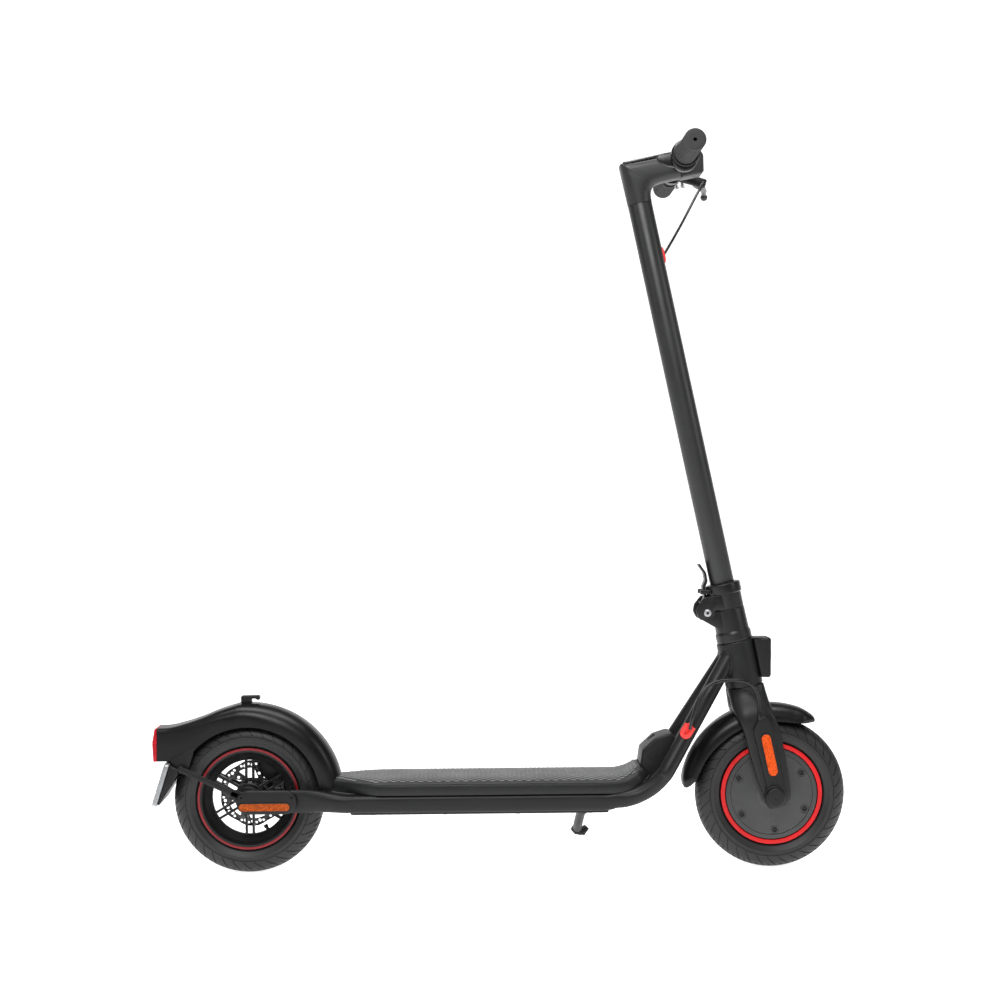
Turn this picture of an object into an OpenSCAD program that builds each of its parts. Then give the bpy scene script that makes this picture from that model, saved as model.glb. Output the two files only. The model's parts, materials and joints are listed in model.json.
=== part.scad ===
// Electric kick scooter: folding stem, hub motor in front, disc brake at the back.
// Axes: +X forward, +Y to the rider's left, +Z up. Origin: on the ground, at the middle of the box.
// Side outlines are drawn in a road frame (origin under the rear axle) or in a steering frame
// (origin on the steering axis at axle height, Z up along the stem, X forward).

/* [Wheels] */
// Outside diameter of both tyres
tyre_d = 248; // [220:1:300]
// Width of the tyre section
tyre_w = 56; // [46:1:60]
// Diameter over the rim flanges
rim_d = 168; // [140:1:180]
// Distance between the two axles
wheelbase = 862; // [800:1:1040]
// Brake rotor diameter
rotor_d = 110; // [90:1:125]

/* [Deck] */
// Width of the deck
deck_w = 154; // [130:1:190]
// Height of the standing surface
deck_z = 156; // [146:1:190]
// Distance from the rear axle to the deck's rear edge
deck_rear = 168; // [160:1:200]
// Diameter of the frame tubes
rail_d = 27; // [22:1:32]

/* [Stem] */
// Rake of the steering axis, in degrees
rake = 11.9; // [8:0.1:16]
// Height of the handlebar's centre
bar_height = 1163; // [960:1:1400]
// Width over the grips
bar_width = 480; // [400:1:580]
// Outside diameter of the stem tube
stem_d = 40; // [34:1:44]
// Diameter of the handlebar tube
bar_d = 22; // [20:1:26]
// Diameter of the grips
grip_d = 34.6; // [30:0.2:40]

/* [Head tube] */
// Outside diameter of the head tube
head_d = 62; // [56:1:70]
// Length of the head tube
head_l = 76; // [60:1:100]

/* [Fits] */
// Radial clearance of every running fit
run_fit = 0.05; // [0.02:0.01:0.1]
// Gap between neighbouring pieces
gap = 0.3; // [0.2:0.05:0.6]

/* [Hidden] */
$fn = 72;

// Wheels
tyre_r = tyre_d / 2;
axle_z = tyre_r;
rim_r = rim_d / 2;
seat_r = rim_r - 4;
barrel_r = rim_r - 8;
rim_hw = 23;
flange_t = 3;
bead_a = 152;
tyre_mid_r = (seat_r + gap - tyre_r * cos(bead_a)) / (1 - cos(bead_a));
tyre_a = tyre_r - tyre_mid_r;
tyre_wall = 5;
axle_r = 6;
nut_r = 9;

// Deck
deck_t = 4;
mat_t = 2;
plate_z = deck_z - mat_t;
lip_z = plate_z - 14;
rail_z = lip_z - 15;
rail_h = 24;
rail_wall = 2.2;
rail_hw = 13;
rail_y = deck_w / 2 - 13.5;
rail_r = rail_d / 2;
tray_hw = rail_y - max(rail_r, rail_hw) - gap;
tray_rear = deck_rear + 8;
tray_top = plate_z - deck_t;
tray_wall = 4;
rail_low = rail_z - rail_h / 2;
bend_r = 101;
bend_x = wheelbase - 262;
deck_front = bend_x + 32;
cover_t = 9;
cover_hw = tray_hw + 19;

// Steering frame
fork_offset = 3;
steer_x = wheelbase - fork_offset;
fork_axle = [fork_offset * cos(rake), 0, -fork_offset * sin(rake)];
crown_s = tyre_r + 25 + gap + fork_axle[2];
head_s = crown_s + 32;
head_top = head_s + head_l;
head_r = head_d / 2;
bearing_h = 10;
bearing_r = head_r - 7;
steerer_r = 17;
split_s = head_top + 55;
pivot_s = split_s + 1.8;
pivot_x = -37;
collar_r = 27;
collar_top = split_s + 25;
ring_top = collar_top + 18;
pin_r = 4;
ear_r = 14;
knuckle_r = 12;
knuckle_hw = 11.5;
ear_hw = 22;
stem_r = stem_d / 2;
stem_wall = 2.5;
bar_fwd = 75;
bar_s = (bar_height - axle_z - bar_fwd * sin(rake)) / cos(rake);
bar_r = bar_d / 2;
grip_r = grip_d / 2;
grip_l = 122;
grip_in = bar_width / 2 - grip_l;
stem_top = bar_s - 48;
head_top_s = bar_s + 20;
head_hw = 23;
dash_t = 4;

// Where the frame tubes aim: the upper end of the head tube
aim_s = head_top - 5;
aim_x = steer_x - aim_s * sin(rake);
aim_z = axle_z + aim_s * cos(rake);
aim_y = 17;
bend_cz = rail_z + bend_r;
to_aim = norm([aim_x - bend_x, aim_z - bend_cz]);
rail_slope = atan2(aim_z - bend_cz, aim_x - bend_x) - acos(bend_r / to_aim) + 90;
rise_x = bend_x + bend_r * sin(rail_slope);
rise_z = bend_cz - bend_r * cos(rail_slope);

// Fenders
rear_fender_r = tyre_r + 32;
front_fender_r = tyre_r + 25;
fender_t = 4;
fender_hw = 38;
front_fender_hw = 33;
tail_x = -148;
tail_top = axle_z + 119;
tail_low = axle_z + 64;

// Rear end
arm_in = 48;
arm_out = 60;
arm_h = 32;
plate_top = [-128, axle_z + 62];
plate_tilt = 17.4;
plate_h = 71;
plate_w = 100;
plate_t = 2;
plate_foot_x = plate_top[0] - plate_h * sin(plate_tilt) - plate_t * cos(plate_tilt);

// Fork
leg_in = 38;
leg_out = 52;
leg_cover = 58;

// Kickstand: pivot point, splay of the leg below the horizontal, and its foot
stand_splay = 39;
stand_p = [bend_x - 43, deck_w / 2 + 7, rail_low - 21];
stand_len = stand_p[2] / sin(stand_splay);

// Middle of the whole box along the road
x_mid = (min(plate_foot_x, tail_x - 2) + wheelbase + tyre_r) / 2;

// ---- Frames and helpers ----
module road() { translate([-x_mid, 0, 0]) children(); }
module steering() { road() translate([steer_x, 0, axle_z]) rotate([0, -rake, 0]) children(); }
module rear_hub() { road() translate([0, 0, axle_z]) children(); }
module front_hub() { road() translate([wheelbase, 0, axle_z]) children(); }
module bar_frame() { steering() translate([bar_fwd, 0, bar_s]) children(); }
module hinge_frame() { steering() translate([pivot_x, 0, pivot_s]) children(); }
module stand_frame() { road() translate(stand_p) rotate([-stand_splay, 0, 0]) children(); }
module both() { children(); mirror([0, 1, 0]) children(); }

// Cylinder along Y from y0 to y1
module y_cyl(r, y0, y1) { translate([0, y0, 0]) rotate([-90, 0, 0]) cylinder(r = r, h = y1 - y0); }
// Ring along Y
module y_ring(r, bore, y0, y1) {
  difference() {
    y_cyl(r, y0, y1);
    y_cyl(bore, y0 - 1, y1 + 1);
  }
}
// Outline in X and Z, from y0 to y1
module slab(y0, y1) { translate([0, y1, 0]) rotate([90, 0, 0]) linear_extrude(y1 - y0) children(); }
// Section [radius, across] turned round the Y axis, from angle a over a sweep
module turned(a = 0, sweep = 360) {
  rotate([90, 0, 0]) rotate([0, 0, a]) rotate_extrude(angle = sweep) children();
}
module box(x, y, z) {
  translate([x[0], y[0], z[0]]) cube([x[1] - x[0], y[1] - y[0], z[1] - z[0]]);
}
// Flat link between two round ends, as an outline
module link(a, ra, b, rb) {
  hull() {
    translate(a) circle(ra, $fn = 32);
    translate(b) circle(rb, $fn = 32);
  }
}
module ring_copies(n, r, start = 0) {
  for (i = [0:n - 1]) rotate([0, -(start + i * 360 / n), 0]) translate([r, 0, 0]) children();
}

// A tube swept along points, with flat ends: one polyhedron
function ahead(p, i) = p[min(i + 1, len(p) - 1)] - p[max(i - 1, 0)];
function unit(v) = v / norm(v);
function side_of(d) = unit(cross(d, abs(d[1]) > 0.8 * norm(d) ? [1, 0, 0] : [0, 1, 0]));
function sweep_ring(c, d, r, n) = let (u = side_of(d), v = unit(cross(d, u)))
  [for (k = [0:n - 1]) c + r * (cos(k * 360 / n) * u + sin(k * 360 / n) * v)];
function bend(p, t) = let (n = len(p) - 1, s = min(floor(t), n - 1), f = t - s,
  a = p[max(s - 1, 0)], b = p[s], c = p[s + 1], e = p[min(s + 2, n)])
  0.5 * (2 * b + (c - a) * f + (2 * a - 5 * b + 4 * c - e) * f * f
  + (3 * b - a - 3 * c + e) * f * f * f);
module cord(points, r, step = 0.34, n = 8) {
  last = len(points) - 1;
  rings = ceil(last / step);
  tube([for (i = [0:rings]) bend(points, i * last / rings)], r, n);
}
module tube(p, r, n) {
  m = len(p);
  polyhedron(
    points = [for (i = [0:m - 1]) each sweep_ring(p[i], ahead(p, i), r, n)],
    faces = [
      [for (k = [0:n - 1]) k],
      for (i = [0:m - 2], k = [0:n - 1])
        [i * n + k, (i + 1) * n + k, (i + 1) * n + (k + 1) % n, i * n + (k + 1) % n],
      [for (k = [n - 1:-1:0]) (m - 1) * n + k]
    ]);
}

// ---- Frame ----
// Centreline of a frame tube: along the deck, round the bend, then in towards the head tube
rail_route = concat([[bend_x - 4, rail_y, rail_z]],
  [for (i = [0:8]) [bend_x + bend_r * sin(rail_slope * i / 8), rail_y, bend_cz - bend_r * cos(rail_slope * i / 8)]],
  [for (f = [0.12, 0.5, 1]) [rise_x + f * (aim_x - rise_x), rail_y + f * (aim_y - rail_y),
    rise_z + f * (aim_z - rise_z)]]);
module rail_shape(t) {
  box([tray_rear - t, bend_x + 4 - t], [rail_y - rail_hw + t, rail_y + rail_hw - t], [rail_low + t, rail_low + rail_h - t]);
  tube(rail_route, rail_r - t, 16);
}
module frame_rail() {
  difference() {
    rail_shape(0);
    rail_shape(rail_wall);
    translate([steer_x, 0, axle_z]) rotate([0, -rake, 0]) cylinder(r = head_r + 0.1, h = head_top + 200);
  }
}
module frame_rail_left() { color("dimgray") road() frame_rail(); }
module frame_rail_right() { color("dimgray") road() mirror([0, 1, 0]) frame_rail(); }

module head_tube() {
  color("dimgray") steering() difference() {
    translate([0, 0, head_s + gap]) cylinder(r = head_r, h = head_l - 2 * gap);
    translate([0, 0, head_s - 1]) cylinder(r = steerer_r + 3, h = head_l + 2);
    translate([0, 0, head_s - 1]) cylinder(r = bearing_r, h = bearing_h + 3);
    translate([0, 0, head_top - bearing_h - 2]) cylinder(r = bearing_r, h = bearing_h + 3);
  }
}
module headset_bearings() {
  color("silver") steering() for (s = [head_s + 1.5, head_top - bearing_h - 1.5])
    translate([0, 0, s]) difference() {
      cylinder(r = bearing_r - 0.05, h = bearing_h);
      translate([0, 0, -1]) cylinder(r = steerer_r + run_fit, h = bearing_h + 2);
    }
}

// Inverted channel that holds the battery, closed at both ends
module deck_tray() {
  color("dimgray") road() difference() {
    box([tray_rear, deck_front - 6], [-tray_hw, tray_hw], [rail_low, tray_top]);
    box([tray_rear + tray_wall, deck_front - 6 - tray_wall], [-tray_hw + tray_wall, tray_hw - tray_wall],
      [rail_low - 1, tray_top - tray_wall]);
  }
}
// Plan of the deck: full width, then tapered to pass between the rising tubes
module deck_outline(inset) {
  r = 14;
  hw = deck_w / 2 - inset;
  front_hw = tray_hw - 5 - inset;
  hull() {
    for (p = [[deck_rear + inset + r, hw], [bend_x - 8 - inset - r, hw], [deck_front - inset - r, front_hw]], y = [-1, 1])
      translate([p[0], y * (p[1] - r)]) circle(r, $fn = 32);
  }
}
module deck_top() {
  color("dimgray") road() difference() {
    translate([0, 0, lip_z]) linear_extrude(plate_z - lip_z) deck_outline(0);
    translate([0, 0, lip_z - 1]) linear_extrude(plate_z - lip_z - deck_t + 1) deck_outline(3.5);
    box([tray_rear - gap, deck_front - 6 + gap], [-tray_hw - gap, tray_hw + gap], [lip_z - 1, tray_top]);
    box([deck_rear - 1, tray_rear], [-29, 29], [lip_z - 1, tray_top - 3]);
  }
}
module deck_mat() {
  color("gray") road() translate([0, 0, plate_z]) linear_extrude(mat_t) deck_outline(3);
}
module bottom_cover() {
  color("#222222") road() difference() {
    box([tray_rear + 8, bend_x - 10], [-cover_hw, cover_hw], [rail_low - cover_t, rail_low]);
    for (x = [0:3]) both() translate([screw_x(x), screw_y, rail_low - cover_t - 1]) {
      cylinder(r = 2.5, h = cover_t + 2);
      cylinder(r = screw_head_r + gap, h = screw_head_h + 1.2);
    }
  }
}
screw_y = cover_hw - 12;
screw_head_r = 5;
screw_head_h = 3;
function screw_x(i) = tray_rear + 30 + i * (bend_x - tray_rear - 70) / 3;
module bottom_screws() {
  color("silver") road() for (i = [0:3]) both() translate([screw_x(i), screw_y, rail_low - cover_t + 0.2]) {
    cylinder(r = 2.3, h = cover_t - 0.4);
    cylinder(r = screw_head_r, h = screw_head_h);
  }
}
module battery_pack() {
  color("royalblue") road() box([tray_rear + 50, bend_x - 80], [-tray_hw + 8, tray_hw - tray_wall - gap],
    [rail_low + gap, tray_top - tray_wall - gap]);
}
module controller() {
  color("silver") road() box([bend_x - 72, deck_front - 18], [-tray_hw + 14, tray_hw - 14],
    [rail_low + gap, tray_top - tray_wall - gap]);
}

// Fairing that rises from the deck's front end between the tubes
neck_x = deck_front + 4;
neck_hw = rail_y - rail_r - 16;
function neck_outline(t) = [
  [neck_x + t, plate_z + gap + t], [neck_x + 12 + t, plate_z + 22], [neck_x + 20 + t, plate_z + 52 - t],
  [neck_x + 34, plate_z + 64 - t], [neck_x + 58 - t, plate_z + 76 - 2 * t], [neck_x + 66 - 2 * t, plate_z + 66],
  [neck_x + 42 - t, plate_z + 22], [neck_x + 22 - t, plate_z + gap + t]
];
module neck_cover() {
  color("#222222") road() difference() {
    union() {
      slab(-neck_hw, neck_hw) polygon(neck_outline(0));
      box([deck_front + gap, neck_x + 22], [-neck_hw, neck_hw], [lip_z - 8, plate_z + gap + 1]);
    }
    slab(-neck_hw + 3, neck_hw - 3) polygon(neck_outline(3));
    translate([cap_x, 0, cap_z]) rotate([0, -60, 0]) cylinder(r = 8, h = 40, center = true);
  }
}

// Hinged flap over the charging socket, on the rear face of the neck cover
cap_x = neck_x + 16.2;
cap_z = plate_z + 38;
cap_tilt = 15;
cap_h = 24;
module cap_frame() { road() translate([cap_x, 0, cap_z]) rotate([0, cap_tilt, 0]) translate([-gap, 0, 0]) children(); }
module charge_cap() {
  color("#333333") cap_frame() {
    box([-3, 0], [-11, 11], [-cap_h / 2, cap_h / 2 - 3]);
    translate([-1.8, 0, cap_h / 2 - 2]) y_cyl(1.8, -9, 9);
  }
}

// ---- Rear end ----
module rear_arm() {
  difference() {
    union() {
      slab(arm_in, arm_out) link([0, axle_z], arm_h / 2, [90, axle_z], arm_h / 2);
      slab(arm_in, arm_out) link([90, axle_z], arm_h / 2, [tray_rear - 14, rail_z], rail_h / 2);
      box([tray_rear - 16, tray_rear - gap], [arm_in, arm_out], [rail_low, rail_low + rail_h]);
    }
    translate([0, 0, axle_z]) y_cyl(axle_r + 0.1, arm_in - 1, arm_out + 1);
  }
}
module rear_arm_left() { color("#222222") road() rear_arm(); }
module rear_arm_right() { color("#222222") road() mirror([0, 1, 0]) rear_arm(); }
module rear_axle_covers() {
  color("#222222") rear_hub() both() difference() {
    slab(arm_out, arm_out + 9) link([5, 1], 20, [64, 1], 19);
    y_cyl(nut_r + 1.5, arm_out - 1, arm_out + 7);
  }
}
module rear_side_reflectors() {
  color("orangered") rear_hub() both() slab(arm_out + 9, arm_out + 11) link([-4, -6.5], 7, [66, -6.5], 7);
}
module rear_axle() {
  color("silver") rear_hub() {
    y_cyl(axle_r, -arm_out - 6, arm_out + 6);
    both() y_cyl(nut_r, arm_out + 0.1, arm_out + 6, $fn = 6);
    y_cyl(nut_r, -arm_in + 4.1, -hub_right - gap);
    y_cyl(nut_r, rotor_y + 5, arm_in - 4.1);
  }
}

module fender_section(r, hw, skirt, t) {
  polygon([[r, -hw + 6], [r, hw - 6], [r - 6, hw], [skirt, hw], [skirt, hw - t], [r - 7, hw - t],
    [r - t, hw - t - 5], [r - t, -hw + t + 5], [r - 7, -hw + t], [skirt, -hw + t], [skirt, -hw], [r - 6, -hw]]);
}
module tail_outline(t) {
  polygon([[-66, axle_z + 139 - t], [-100, axle_z + 130 - t], [tail_x + t, tail_top - t],
    [tail_x + t, tail_low + t], [-90, tail_low + t], [-50, axle_z + 100]]);
}
module rear_fender() {
  color("#222222") road() {
    translate([0, 0, axle_z]) turned(5, 113) fender_section(rear_fender_r, fender_hw, tyre_r - 2, fender_t);
    difference() {
      slab(-fender_hw + 1, fender_hw - 1) tail_outline(0);
      slab(-fender_hw + 4.5, fender_hw - 4.5) tail_outline(3);
      translate([0, 0, axle_z]) y_cyl(tyre_r + 1, -fender_hw - 1, fender_hw + 1);
      translate([0, 0, axle_z]) y_cyl(rear_fender_r - 2, -fender_hw + 4.5, fender_hw - 4.5);
    }
    box([rear_fender_r - 6, tray_rear - gap], [-28, 28], [tray_top - 10, tray_top - 4]);
  }
}
// Struts from the axle to the fender's skirts
stay_top = [-72, 46];
module fender_stays() {
  color("#333333") rear_hub() both() difference() {
    union() {
      slab(arm_in - 4, arm_in - 0.2) link([0, 0], 11, [-18, 12], 5);
      slab(arm_in - 4, arm_in - 0.2) link([-18, 12], 5, stay_top, 4.5);
      translate([stay_top[0], 0, stay_top[1]]) y_cyl(5, fender_hw + 0.1, arm_in - 0.2);
    }
    y_cyl(axle_r + 0.1, arm_in - 5, arm_in + 1);
  }
}
hook_s = rear_fender_r + 12;
module fender_hook() {
  color("#222222") rear_hub() difference() {
    slab(-7, 7) polygon([[-20, rear_fender_r - 3.5], [12, rear_fender_r - 3.5], [5, rear_fender_r + 2],
      [4, hook_s - 5], [12, hook_s - 5], [13.5, hook_s - 7], [17.5, hook_s - 7], [18.5, hook_s - 4],
      [17, hook_s], [-11, hook_s], [-13, hook_s - 2], [-12.5, rear_fender_r + 2]]);
    y_cyl(rear_fender_r + 0.1, -8, 8);
  }
}
module tail_lens() {
  color("red") road() box([tail_x - 3, tail_x - gap], [-26, 26], [tail_low + 2, tail_top - 2]);
}
// Wedge under the tail that carries the plate
module plate_frame() {
  road() translate([plate_top[0], 0, plate_top[1]]) rotate([0, plate_tilt, 0]) children();
}
module plate_holder() {
  color("#222222") difference() {
    plate_frame() {
      box([0, 3], [-plate_w / 2, plate_w / 2], [-plate_h, 0]);
      slab(1 - fender_hw, fender_hw - 1) polygon([[2, 7], [2, -58], [8, -60], [20, -28], [19, 11], [8, 11]]);
    }
    rear_hub() y_cyl(tyre_r + 4, -plate_w, plate_w);
    road() box([-200, 0], [-fender_hw - 1, fender_hw + 1], [tail_low - gap, tail_top]);
  }
}
module number_plate() {
  color("lightgray") plate_frame() box([-plate_t, -0.05], [-plate_w / 2, plate_w / 2], [-plate_h, 0]);
}

// ---- Rear wheel ----
function tyre_ring(a, b, t0, t1, n) =
  [for (i = [0:n]) let (t = t0 + (t1 - t0) * i / n) [tyre_mid_r + a * cos(t), b * sin(t)]];
module tyre() {
  turned() polygon(concat(
    tyre_ring(tyre_a, tyre_w / 2, -bead_a, bead_a, 32),
    tyre_ring(tyre_a - tyre_wall - 1, tyre_w / 2 - tyre_wall, bead_a - 4, 4 - bead_a, 24)));
}
module rear_tyre() { color("#1a1a1a") rear_hub() tyre(); }
module front_tyre() { color("#1a1a1a") front_hub() tyre(); }

hub_r = 24;
hub_right = 30;
rotor_y = 34;
spoke_in = 62;
module rim_section() {
  polygon([[barrel_r, -rim_hw], [rim_r, -rim_hw], [rim_r, -rim_hw + flange_t], [seat_r, -rim_hw + flange_t],
    [seat_r, rim_hw - flange_t], [rim_r, rim_hw - flange_t], [rim_r, rim_hw], [barrel_r, rim_hw]]);
}
module rear_rim() {
  color("#333333") rear_hub() difference() {
    union() {
      turned() rim_section();
      turned() polygon([[spoke_in, -5], [barrel_r + 1, -rim_hw + 4], [barrel_r + 1, rim_hw - 4], [spoke_in, 5]]);
      y_cyl(hub_r, -hub_right, rotor_y - 0.1);
      for (k = [0:5]) rotate([0, 30 + 60 * k, 0]) for (z = [-7.6, 3.8])
        box([hub_r - 4, spoke_in + 2], [-6, 6], [z, z + 3.8]);
    }
    y_cyl(axle_r + 3, -hub_right - 1, rotor_y + 1);
    y_cyl(16, -hub_right - 1, -hub_right + 9);
    y_cyl(16, rotor_y - 9, rotor_y + 1);
    ring_copies(6, 19.5, 30) y_cyl(2.5, rotor_y - 8, rotor_y + 1);
  }
}
module rear_bearings() {
  color("silver") rear_hub() {
    y_ring(15.95, axle_r + run_fit, -hub_right + 0.4, -hub_right + 8.9);
    y_ring(15.95, axle_r + run_fit, rotor_y - 8.9, rotor_y - 0.4);
  }
}
module brake_rotor() {
  rr = rotor_d / 2;
  color("silver") rear_hub() difference() {
    slab(rotor_y, rotor_y + 2) difference() {
      circle(rr);
      for (k = [0:5]) rotate(k * 60) translate([rr + 13, 0]) circle(16);
      for (k = [0:5]) rotate(k * 60 + 30) {
        for (a = [-14, 0, 14]) rotate(a) translate([rr - 6, 0]) circle(2);
        for (a = [-9, 9]) rotate(a) translate([rr - 12, 0]) circle(2);
        translate([rr - 24, 0]) circle(5);
      }
      circle(12);
    }
    ring_copies(6, 19.5, 30) y_cyl(2.6, rotor_y - 1, rotor_y + 3);
  }
  color("silver") rear_hub() ring_copies(6, 19.5, 30) {
    y_cyl(2.4, rotor_y - 7, rotor_y + 2.1);
    y_cyl(4, rotor_y + 2.1, rotor_y + 4);
  }
}

// Mechanical caliper over the rotor's upper front quarter, on a lug from the left arm
cal_a = 48;
cal_r = rotor_d / 2 + 2;
module caliper_place() { rear_hub() rotate([0, -cal_a, 0]) children(); }
module brake_caliper() {
  color("#222222") {
    caliper_place() difference() {
      slab(rotor_y - 8, rotor_y + 10) link([cal_r - 6, -14], 14, [cal_r - 6, 14], 14);
      box([0, cal_r], [rotor_y - 1, rotor_y + 3], [-40, 40]);
    }
    caliper_place() slab(rotor_y + 9, arm_in - 0.1) link([cal_r - 9, -17], 6, [cal_r - 1, -34], 6);
  }
}
module caliper_arm() {
  color("silver") caliper_place() translate([cal_r - 6, 0, 8]) {
    y_cyl(6, rotor_y + 10.3, rotor_y + 12.5);
    slab(rotor_y + 10.3, rotor_y + 12.5) link([0, 0], 5, [14, 16], 3.5);
  }
}
rear_cable = [[41, 45, 188], [60, 45, 184], [90, 45, 168], [120, 43, 150], [150, 41, 134], [175.6, 40, 126]];
module rear_brake_cable() { color("#111111") road() cord(rear_cable, 2); }

// ---- Kickstand, deployed on the left ----
module kickstand_bracket() {
  color("#333333") {
    stand_frame() translate([0, 0, 1]) cylinder(r = 10, h = 15);
    stand_frame() translate([0, 0, -15]) cylinder(r = pin_r, h = 17);
    stand_frame() translate([0, 0, -17]) cylinder(r = 7, h = 2.6);
    road() box([stand_p[0] - 22, stand_p[0] + 22], [cover_hw + 1, stand_p[1] + 3], [rail_low - 9, rail_low - 0.05]);
  }
}
module kickstand_leg() {
  color("#222222") difference() {
    union() {
      stand_frame() translate([0, 0, -14]) cylinder(r = 11, h = 14.7);
      intersection() {
        stand_frame() stand_shaft();
        road() box([0, wheelbase], [0, 400], [0, 300]);
      }
    }
    stand_frame() translate([0, 0, -16]) cylinder(r = pin_r + run_fit, h = 20);
  }
}
module stand_shaft() {
  translate([-9, 4, -13]) cube([18, stand_len - 4, 12]);
  translate([-12, stand_len - 26, -13]) cube([34, 12, 8]);
  translate([-12, stand_len - 16, -13]) cube([24, 40, 14]);
}

// ---- Front end fixed to the frame ----
module front_marker() {
  color("#222222") road() difference() {
    translate([marker_x - 34, -24, marker_z - 33]) cube([34, 48, 66]);
    translate([steer_x, 0, axle_z]) rotate([0, -rake, 0]) cylinder(r = head_r + 0.2, h = 1000);
    translate([marker_x - 34, -25, marker_z - 34]) rotate([0, 20, 0]) cube([30, 50, 20], center = true);
  }
}
marker_z = aim_z - 22;
marker_x = aim_x + 57;
module frame_grommet() {
  color("red") road() difference() {
    translate(grommet_p + [0, 5, 0]) rotate([90, 0, 0]) linear_extrude(11) link([-6, -7], 7, [6, 7], 7);
    translate(grommet_p + [5, 6, 6]) rotate([90, 0, 0]) cylinder(r = 3.2, h = 16);
    mirror([0, 1, 0]) tube(rail_route, rail_r + 0.2, 16);
  }
}
grommet_f = 0.3;
grommet_p = [rise_x + grommet_f * (aim_x - rise_x),
  -(rail_y + grommet_f * (aim_y - rail_y) + rail_r + 0.2), rise_z + grommet_f * (aim_z - rise_z)];

// ---- Fork, turning with the steering ----
module leg_outline() {
  hull() {
    translate([5, 120]) circle(23, $fn = 32);
    translate([6, 80]) circle(29, $fn = 32);
    translate([fork_offset + 6, 2]) circle(22, $fn = 32);
  }
}
module fork() {
  color("#222222") steering() difference() {
    union() {
      both() slab(leg_in, leg_out) leg_outline();
      both() slab(leg_out, leg_cover) offset(delta = -2) leg_outline();
      intersection() {
        slab(-leg_out, leg_out) polygon([[-26, crown_s], [-24, head_s - 6], [-18, head_s - gap], [20, head_s - gap],
          [28, head_s - 8], [31, crown_s]]);
        translate([-50, 0, 0]) rotate([90, 0, 90]) linear_extrude(100) polygon([[-leg_out, crown_s],
          [-leg_out, crown_s + 8], [-28, head_s - gap], [28, head_s - gap], [leg_out, crown_s + 8],
          [leg_out, crown_s]]);
      }
      both() slab(leg_in, leg_out) polygon([[-18, 110], [-26, crown_s + 1], [31, crown_s + 1], [26, 110]]);
      cylinder(r = steerer_r, h = split_s - 12);
    }
    translate([0, 0, -1]) cylinder(r = steerer_r - 3, h = split_s);
    box([-40, 45], [-leg_in, leg_in], [-40, crown_s]);
    translate(fork_axle) y_cyl(axle_r + 0.1, -leg_cover - 1, leg_cover + 1);
  }
}
module fork_reflectors() {
  color("orangered") steering() both() slab(leg_cover, leg_cover + 2.5) hull() {
    for (z = [41, 95]) translate([9, z]) circle(8.5, $fn = 32);
  }
}
module front_fender() {
  color("#222222") front_hub() turned(58, 118)
    fender_section(front_fender_r, front_fender_hw, front_fender_r - 18, fender_t - 1);
}
// Fixed axle of the hub motor with its stator, nuts and caps
module motor_stator() {
  color("goldenrod") front_hub() {
    y_cyl(axle_r, -leg_cover - 5, leg_cover + 5);
    y_cyl(48, -13, 13);
    both() y_cyl(11, 13, 18.5);
    both() y_cyl(9, shell_out + 0.6, leg_in - gap);
    both() y_cyl(nut_r, leg_cover + 0.1, leg_cover + 6, $fn = 6);
    both() y_cyl(15, leg_cover + 6, leg_cover + 11);
  }
}
shell_out = 27;
cover_screw_r = barrel_r - 16;
module motor_shell() {
  color("#333333") front_hub() {
    turned() rim_section();
    turned() polygon([[barrel_r - 22, 13.5], [barrel_r + 1, 13.5], [barrel_r + 1, 18], [barrel_r - 22, 18]]);
    turned() polygon([[barrel_r - 22, -13.5], [barrel_r + 1, -13.5], [barrel_r + 1, -18], [barrel_r - 22, -18]]);
  }
}
module motor_covers() {
  color("gray") front_hub() both() difference() {
    union() {
      y_cyl(barrel_r - 0.3, 19, 24);
      y_cyl(22, 19, shell_out);
    }
    y_cyl(axle_r + run_fit, 18, 30);
    ring_copies(6, cover_screw_r, 34.5) y_cyl(5.5, 22, 25);
    ring_copies(6, cover_screw_r, 34.5) y_cyl(2.3, 18, 25);
  }
}
module cover_screws() {
  color("silver") front_hub() both() ring_copies(6, cover_screw_r, 34.5) {
    y_cyl(2.1, 18.2, 22);
    y_cyl(4.2, 22, 23.6);
  }
}
// Hinge casting clamped on the steerer, with the cover ring over the upper bearing
module hinge_base() {
  color("#333333") steering() difference() {
    union() {
      translate([0, 0, head_top + gap]) cylinder(r = head_r - 2, h = 18 - gap);
      translate([0, 0, head_top + 17]) cylinder(r = collar_r, h = split_s - head_top - 17);
      both() translate([pivot_x, 0, pivot_s]) y_cyl(ear_r, knuckle_hw + gap, ear_hw);
      both() slab(knuckle_hw + gap, ear_hw) polygon([[pivot_x - 4, pivot_s - 13], [pivot_x + 8, pivot_s - 26],
        [-12, pivot_s - 34], [-12, split_s], [pivot_x, split_s]]);
    }
    translate([0, 0, head_top - 1]) cylinder(r = steerer_r + 0.1, h = split_s - head_top - 10);
    translate([0, 0, head_top - 1]) cylinder(r = steerer_r - 3, h = 80);
    translate([pivot_x, 0, pivot_s]) y_cyl(knuckle_r + 0.6, -knuckle_hw - gap, knuckle_hw + gap);
    translate([pivot_x, 0, pivot_s]) y_cyl(pin_r + 0.02, -40, 40);
  }
}
module hinge_pin() {
  color("silver") hinge_frame() difference() {
    union() {
      y_cyl(pin_r, -29, 29);
      both() y_cyl(6.5, 26.2, 29);
    }
    y_cyl(2.5, -30, -27, $fn = 6);
  }
}
motor_route = [[727, -73, 241], [728, -74, 249], [731, -75, 262], [741, -70, 288], [761, -62, 309], [785, -56, 318],
  [808, -54, 318], [826, -55, 311], [835, -56, 297], [837, -55, 280], [834.7, -55, 263.9]];
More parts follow.
